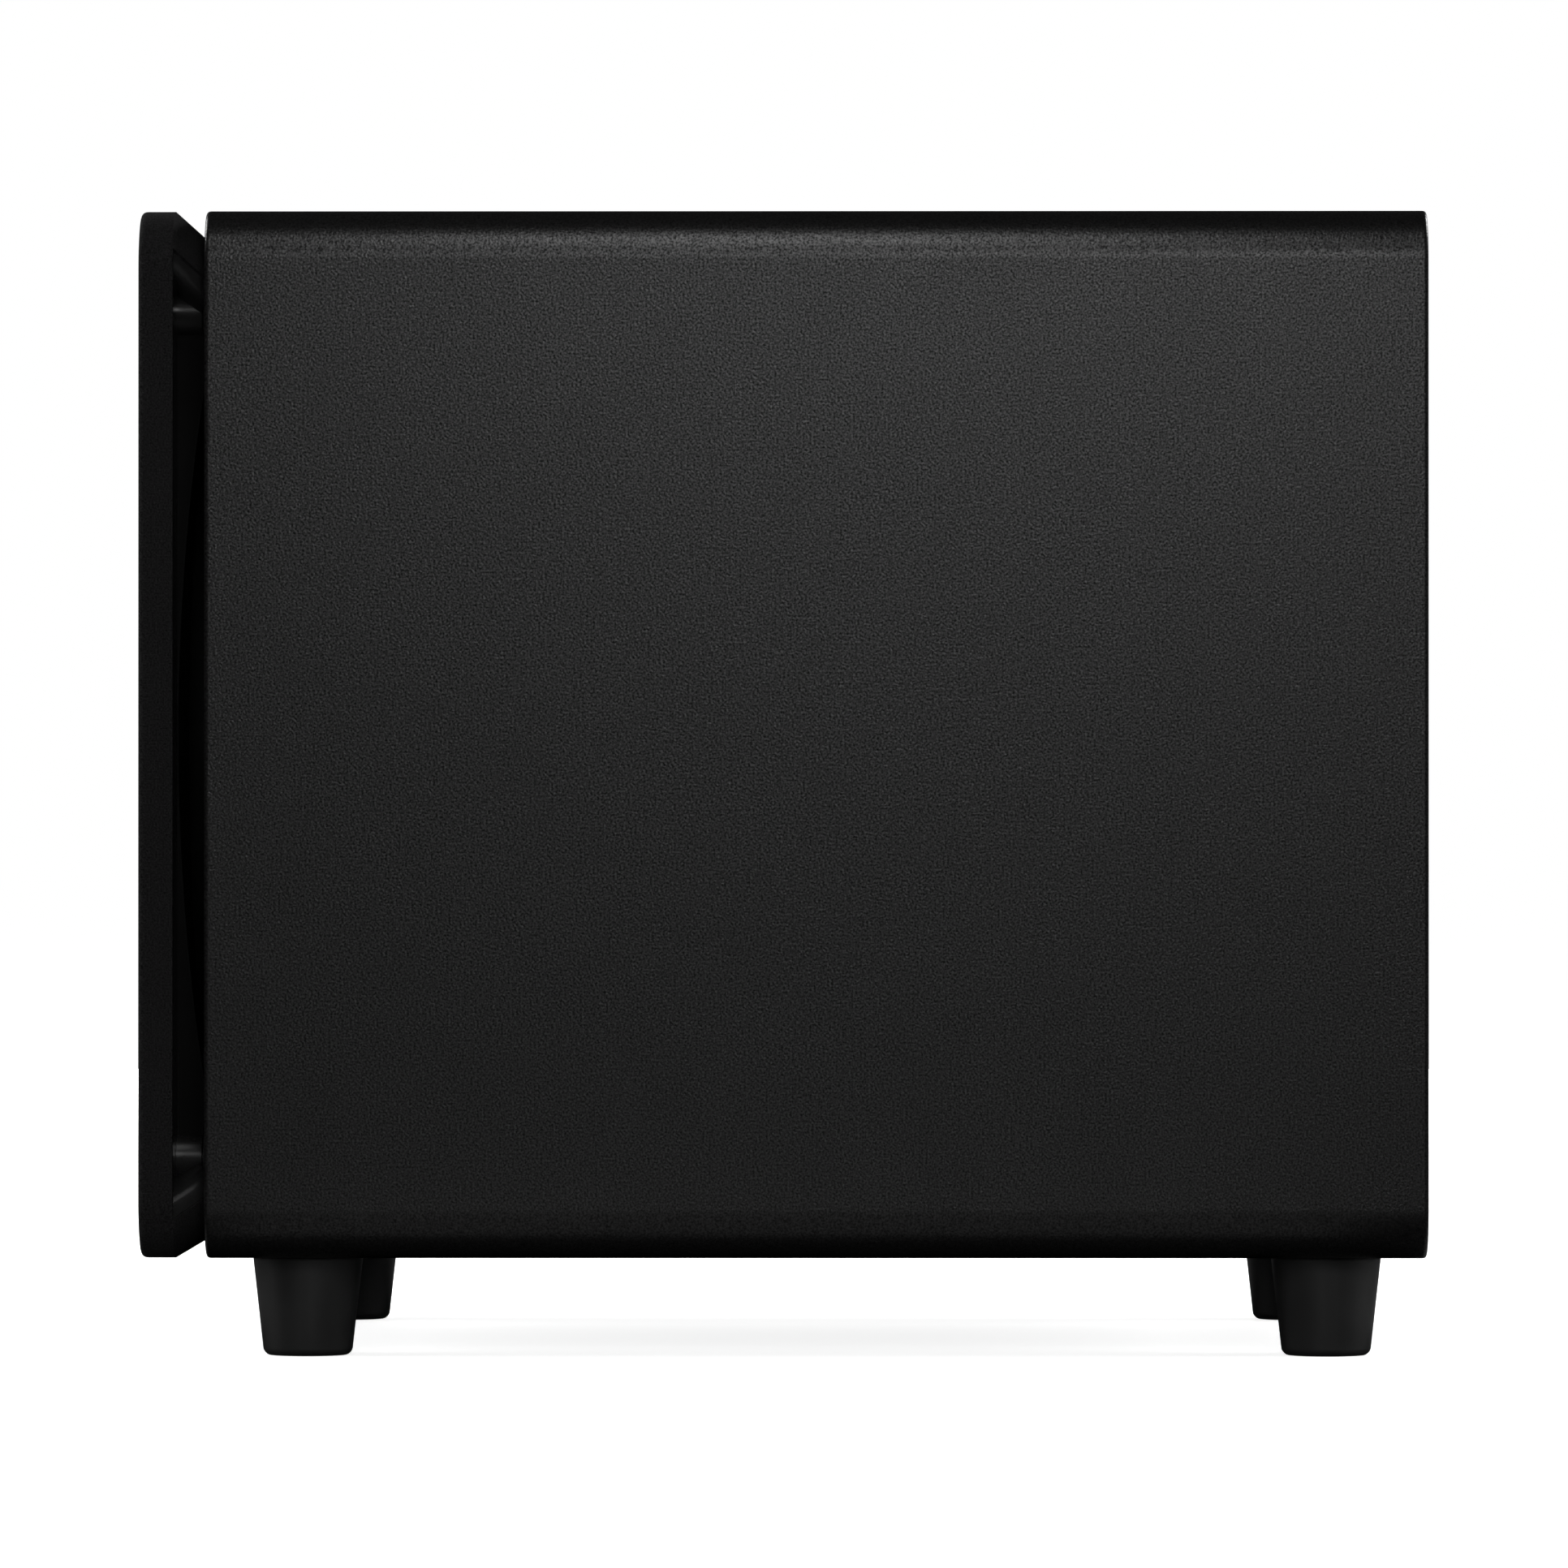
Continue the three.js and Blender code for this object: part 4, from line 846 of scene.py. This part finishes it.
# ---------- screws ----------
def screw_mesh(name, head_radius, head_height, shank_radius, length):
    """A pan-head screw along +Y with its head's top at y = 0, and a cross recess. Sizes in mm."""
    thread = []
    turns = int(length - 4)
    for k in range(turns):
        thread += [(shank_radius, head_height + 1 + k), (shank_radius * 0.8, head_height + 1.5 + k)]
    profile = [(0, 0), (head_radius * 0.72, 0.25), (head_radius, head_height * 0.65),
               (head_radius, head_height), (shank_radius, head_height), *thread, (0, head_height + length)]
    mesh = turned(name, profile, (0, 0, 0), SMALL, ease=0.25, smooth_steps=2)
    slot_half, slot_width, depth = head_radius * 0.5 * MM, 0.45 * MM, head_height * 0.5 * MM
    tools = [box_mesh(-slot_half, slot_half, -MM, depth, -slot_width, slot_width),
             box_mesh(-slot_width, slot_width, -MM, depth, -slot_half, slot_half)]
    return combine(mesh, tools)


def make_screws():
    base = screw_mesh("screw_base", 4.4, 2.8, 2.2, 20)
    for i, place in enumerate(bolt_places(), 1):
        mesh = base.copy()
        mesh.transform(Matrix.Rotation(math.radians(23 * i), 4, "Y"))
        mesh.transform(Matrix.Translation((place.x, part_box(f"woofer_screw_{i}")[0][1], place.z)))
        new_object(f"basket_screw_{i}", mesh, "black_steel", "cabinet", [f"woofer_screw_{i}"])
    base = screw_mesh("plate_screw_base", 3.6, 2.2, 1.75, 14)
    base.transform(Matrix.Rotation(math.radians(180), 4, "X"))
    number = 0
    for x in (-PLATE_SCREW_X, 0, PLATE_SCREW_X):
        for z in (-PLATE_SCREW_Z, 0, PLATE_SCREW_Z):
            if x or z:
                number += 1
                mesh = base.copy()
                mesh.transform(Matrix.Rotation(math.radians(31 * number), 4, "Y"))
                mesh.transform(Matrix.Translation((x * MM, PLATE_OUT + 2.25 * MM, CENTRE_Z + z * MM)))
                new_object(f"plate_screw_{number}", mesh, "black_steel", "cabinet")


# ---------- woofer ----------
def turned_piece(name, node, profile, slot, body="cabinet", steps=FINE, ease=0.4, smooth_steps=4):
    """A turned woofer piece. Its profile's distances run from the cabinet's front face."""
    mesh = turned(name, profile, (0, CABINET_FRONT, CENTRE_Z), steps, ease=ease, smooth_steps=smooth_steps)
    return new_object(name, mesh, slot, body, [node])


def make_basket():
    profile = [(129, 0.2), (129, 4.2), (114, 4.2), (76, 60), (76, 75.5), (38, 75.5), (38, 73.2),
               (73.5, 73.2), (73.5, 62), (62, 62), (62, 60), (73.7, 59.2), (111.5, 3.0), (104, 2.5),
               (104, 0.2)]
    mesh = turned("basket", profile, (0, CABINET_FRONT, CENTRE_Z), FINE, ease=0.5)
    tools = []
    window_middle = CABINET_FRONT + 32.75 * MM
    outline = rounded_outline(22 * MM, 20.25 * MM, 7 * MM, 6)
    for k in range(6):
        angle = k * math.pi / 3
        # a rounded window between two arms, pushed outwards through the basket's wall
        rings = [[Vector((p.x, window_middle + p.y, r)) for p in outline] for r in (60 * MM, 130 * MM)]
        tool = skin("window", rings)
        tool.transform(Matrix.Rotation(angle, 4, "Y"))
        tool.transform(Matrix.Translation((0, 0, CENTRE_Z)))
        tools.append(tool)
    tools += [rod_mesh(2.6 * MM, CABINET_FRONT - MM, CABINET_FRONT + 6 * MM, p.x, p.z, SMALL)
              for p in bolt_places()]
    mesh = bevelled(combine(mesh, tools), 0.3 * MM)
    new_object("pressed_basket", mesh, "basket_paint", "cabinet", ["woofer_basket"])


def make_surround():
    """The half roll, which stretches between the fixed rim and the moving cone."""
    lip, thick, centre, roll, steps = -1.2, 1.1, 95, 9, 24

    def half_circle(radius):
        angles = [math.pi * k / steps for k in range(steps + 1)]
        return [(centre + radius * math.cos(a), lip + thick / 2 - radius * math.sin(a)) for a in angles]

    arc, back = half_circle(roll), half_circle(roll - thick)
    profile = [(116, lip), *arc, (80, lip), (80, lip + thick), *back[::-1], (116, lip + thick)]
    mesh = turned("rolled_surround", profile, (0, CABINET_FRONT, CENTRE_Z), FINE, ease=0.2, smooth_steps=2)
    flex_ring("rolled_surround", mesh, "soft_rubber", "woofer_surround", 104 * MM, 86 * MM)


def make_spider():
    inner, rim, face, thick = 26.5, 70, 56.7, 0.9
    waves, swing, steps = 4, 1.5, 48
    inner_flat, outer_flat = inner + 2, 62
    wave = []
    for k in range(steps + 1):
        t = k / steps
        radius = inner_flat + (outer_flat - inner_flat) * t
        wave.append((radius, face + swing * math.sin(2 * math.pi * waves * t)))
    profile = [(inner, face), *wave, (rim, face), (rim, face + thick)]
    profile += [(r, a + thick) for r, a in wave[::-1]] + [(inner, face + thick)]
    mesh = turned("folded_spider", profile, (0, CABINET_FRONT, CENTRE_Z), FINE, ease=0.1, smooth_steps=1)
    flex_ring("folded_spider", mesh, "spider_cloth", "woofer_spider", outer_flat * MM, inner_flat * MM)


def flex_ring(name, mesh, slot, node, fixed_radius, moving_radius):
    """A ring in its material, tied to no body. How far each point would follow the cone, from none at
    fixed_radius to all at moving_radius, is worked out and not kept.
    """
    mesh.shade_smooth()
    mesh.materials.clear()
    mesh.materials.append(MATERIALS[slot])
    piece = bpy.data.objects.new(name, mesh)
    bpy.context.collection.objects.link(piece)
    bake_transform(piece)
    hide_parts(node)
    for vertex in mesh.vertices:
        radius = math.hypot(vertex.co.x, vertex.co.z - CENTRE_Z)
        t = (fixed_radius - radius) / (fixed_radius - moving_radius)
        t = max(0.0, min(1.0, t))


def make_turned_stack():
    """The turned pieces of the woofer, from its trim ring at the front to the yoke at the back."""
    body = "cone_assembly"
    trim = [(105.5, -1.5), (118, -1.5), (118, -2.7), (116, -3.3), (107, -3.3), (105.5, -2.5)]
    turned_piece("trim_ring", "woofer_trim_ring", trim, "soft_rubber")
    cone = [(87, 0.2), (87, 1.4), (80, 2.9), (55, 20.2), (27.8, 42.2), (26.6, 41.2), (54, 18.4), (79, 0.2)]
    turned_piece("pulp_cone", "woofer_cone", cone, "cone_paper", body, ease=2.5)
    quarter = [math.pi / 2 * k / 20 for k in range(21)]
    dome = [(40 * math.cos(a), 27.7 - 15 * math.sin(a)) for a in quarter]
    inner = [(39 * math.cos(a), 27.7 - 14 * math.sin(a)) for a in quarter]
    dome[-1], inner[-1] = (0, 12.7), (0, 13.7)
    turned_piece("domed_cap", "dust_cap", dome[::-1] + inner, "cone_paper", body, ease=0.3, smooth_steps=2)
    former = [(25.4, 40.2), (26.2, 40.2), (26.2, 88.2), (25.4, 88.2)]
    turned_piece("coil_former", "voice_coil_former", former, "former", body, ease=0.1)
    winding = [(26.5, 68.2), (27.7, 68.2), (27.7, 87.2), (26.5, 87.2)]
    turned_piece("coil_winding", "voice_coil", winding, "copper_wire", body, ease=0.3)
    plate = [(30, 75.8), (62, 75.8), (62, 83.8), (30, 83.8)]
    turned_piece("front_pole_plate", "magnet_top_plate", plate, "plated_steel", ease=0.8)
    magnet = [(33, 84.1), (67, 84.1), (68, 85.1), (68, 105.1), (67, 106.1), (33, 106.1)]
    turned_piece("ferrite_ring", "magnet_ring", magnet, "ferrite", ease=0.8)
    yoke = [(8, 74.8), (23.6, 74.8), (23.6, 106.4), (62, 106.4), (59, 115.4), (12, 115.4), (8, 112.4)]
    turned_piece("vented_yoke", "magnet_pole_yoke", yoke, "plated_steel", ease=0.8)


# ---------- amplifier ----------
def make_knob(name, node, body):
    place = middle(node)
    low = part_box(node)[0][1]
    back = PLATE_OUT + 0.6 * MM
    start = (back - low) / MM
    profile = [(0, 0), (3, 0), (3, start), (9.5, start), (9.5, start + 1.5), (8.6, start + 2.2),
               (8.1, start + 9.6), (7.4, start + 11), (0, start + 11)]
    mesh = turned(name, profile, (place.x, low, place.z), 144, ease=0.5, flutes=24, flute_depth=0.5,
                  flute_span=(start + 2.4, start + 9.4))
    # a shallow dish in the cap
    dish = turned("dish", [(0, start + 10.6), (5.6, start + 10.6), (6.2, start + 12), (0, start + 12)],
                  (place.x, low, place.z), MEDIUM, ease=0.3)
    mesh = combine(mesh, [dish])
    new_object(name, mesh, "knob_plastic", body, [node])
    mark = block_mesh(f"{name}_mark", (place.x - 0.45 * MM, low + (start + 10.55) * MM, place.z + 2.2 * MM),
                      (place.x + 0.45 * MM, low + (start + 10.95) * MM, place.z + 5.2 * MM), 0.12 * MM)
    new_object(f"{name}_mark", mark, "knob_plastic", body, material="printing")


def make_dial(name, place):
    """Printed ticks round a knob: eleven, the end and middle ones longer."""
    count, half_wide, sunk, proud = 11, 0.25 * MM, 0.02 * MM, 0.06 * MM
    for k in range(count):
        angle = math.pi / 2 + DIAL_SWEEP / 2 - DIAL_SWEEP * k / (count - 1)
        length = 2.6 if k in (0, count // 2, count - 1) else 1.6
        low, high = 12 * MM, (12 + length) * MM
        tick = block_mesh(f"{name}_tick_{k}", (low, -sunk, -half_wide), (high, proud, half_wide), 0.01 * MM)
        tick.transform(Matrix.Rotation(-angle, 4, "Y"))
        tick.transform(Matrix.Translation((place.x, PLATE_OUT, place.z)))
        new_object(f"{name}_tick_{k}", tick, "plate_paint", "cabinet", material="printing")


def make_jack(name, node, slot):
    place = middle(node)
    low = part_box(node)[0][1]
    at = (place.x, low, place.z)
    face = (PLATE_OUT + 0.3 * MM - low) / MM
    inner = (PLATE_IN - 0.3 * MM - low) / MM
    shell = [(3.2, face + 2.1), (4.1, face + 2.1), (4.1, face + 10.3), (3.4, face + 11), (3.2, face + 11)]
    mesh = turned(f"{name}_shell", shell, at, MEDIUM, ease=0.25)
    new_object(f"{name}_shell", mesh, slot, "cabinet", material="gold_plate")
    collar = [(0, 0), (6, 0), (6, inner), (4.2, inner), (4.2, face), (6.6, face), (6.6, face + 1.6),
              (6.0, face + 2), (3.1, face + 2), (3.1, face + 10.6), (1.7, face + 10.6), (1.7, face + 1),
              (0, face + 1)]
    mesh = turned(f"{name}_insulator", collar, at, MEDIUM, ease=0.25)
    new_object(f"{name}_insulator", mesh, slot, "cabinet", [node])


def make_led():
    place = middle("status_led")
    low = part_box("status_led")[0][1]
    profile = [(0, 0), (2.5, 0), (2.5, 8.2), (2.1, 9.4), (1.1, 10.1), (0, 10.2)]
    mesh = turned("indicator_lens", profile, (place.x, low, place.z), MEDIUM, ease=0.8)
    new_object("indicator_lens", mesh, "led_lens", "cabinet", ["status_led"])


def make_transformer():
    low, high = (Vector(c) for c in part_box("power_transformer"))
    centre = (low + high) / 2
    length = (high.y - low.y) / MM
    profile = [(11, 4), (15, 0), (34, 0), (38, 4),
               (38, length - 4), (34, length), (15, length), (11, length - 4)]
    mesh = turned("wound_toroid", profile, (centre.x, low.y, centre.z), 192, ease=5, flutes=48,
                  flute_depth=0.35, flute_span=(-1, length + 1))
    new_object("wound_toroid", mesh, "transformer_wrap", "cabinet", ["power_transformer"])


def lead_route():
    """The middle of the speaker lead's route: the tabs, the cabinet's side, and the board, in mm."""
    tabs = CABINET_FRONT / MM + 81.3
    spacer, board_thickness, clearance = 28, 1.6, 0.6
    board = PLATE_IN / MM - spacer - board_thickness - clearance
    stops = [(0, tabs, -80), (0, tabs + 14, -80), (-6, tabs + 34, -78), (-20, tabs + 60, -74),
             (-40, tabs + 85, -66), (-58, 10, -58), (-70, 50, -40), (-78, 90, -10),
             (-80, board - 40, 15), (-84, board - 18, 29), (-84, board - 4, 30), (-84, board, 30)]
    points = [Vector((x * MM, y * MM, CENTRE_Z + z * MM)) for x, y, z in stops]
    line = []
    for i in range(len(points) - 1):
        p0, p1 = points[max(i - 1, 0)], points[i]
        p2, p3 = points[i + 1], points[min(i + 2, len(points) - 1)]
        for k in range(8):
            t = k / 8
            line.append(0.5 * (2 * p1 + (p2 - p0) * t + (2 * p0 - 5 * p1 + 4 * p2 - p3) * t * t
                               + (3 * p1 - p0 - 3 * p2 + p3) * t ** 3))
    return line + [points[-1]]


def make_lead():
    """Two cores twisted round each other along the route."""
    line = lead_route()
    turns = 5
    cores = (("lead_core_red", 0, "lead_sleeve", ["speaker_lead"]),
             ("lead_core_black", math.pi, "dark_sleeve", ()))
    for name, phase, material, nodes in cores:
        path = []
        for i, point in enumerate(line):
            ahead = (line[min(i + 1, len(line) - 1)] - line[max(i - 1, 0)]).normalized()
            side = ahead.cross(Vector((0, 0, 1))).normalized()
            other = ahead.cross(side)
            angle = phase + 2 * math.pi * turns * i / len(line)
            path.append(point + (side * math.cos(angle) + other * math.sin(angle)) * 1.25 * MM)
        mesh = tube_mesh(name, path, 1.2 * MM)
        new_object(name, mesh, "lead_sleeve", "cabinet", nodes, material=material)


def keep_nodes():
    for node, slot, bevel in (
            ("rear_panel", "panel_paint", 0.4), ("window_brace", "fibreboard", 0.3),
            ("woofer_terminal", "gold_plate", 0.15), ("amp_plate", "plate_paint", 0.35),
            ("amp_gasket", "soft_rubber", 0.2), ("amp_heatsink", "black_aluminium", 0.3),
            ("amp_board", "circuit_board", 0.2), ("phase_switch", "knob_plastic", 0.3),
            ("mode_switch", "knob_plastic", 0.3), ("rocker_housing", "knob_plastic", 0.4),
            ("power_rocker", "knob_plastic", 0.4), ("mains_inlet", "inlet_plastic", 0.3),
            ("fuse_drawer", "inlet_plastic", 0.3)):
        keep_node(node, slot, bevel * MM)


# ---------- the whole scene ----------
MATERIALS = {name: finish(name, **facts) for name, facts in FINISHES.items()}
bpy.context.scene.view_settings.view_transform = "Standard"
make_camera()
make_world()
make_floor()
make_lights()

make_cabinet()
make_baffle()
make_feet()
make_wadding()
make_grille_frame()
make_grille_cloth()
make_grille_fixings()
make_screws()
make_basket()
make_surround()
make_spider()
make_turned_stack()
make_knob("volume_dial", "volume_knob", "volume")
make_knob("crossover_dial", "crossover_knob", "crossover")
make_dial("volume", middle("volume_knob"))
make_dial("crossover", middle("crossover_knob"))
make_jack("left_jack", "rca_jack_left", "white_jack")
make_jack("right_jack", "rca_jack_right", "red_jack")
make_led()
make_transformer()
make_lead()
keep_nodes()
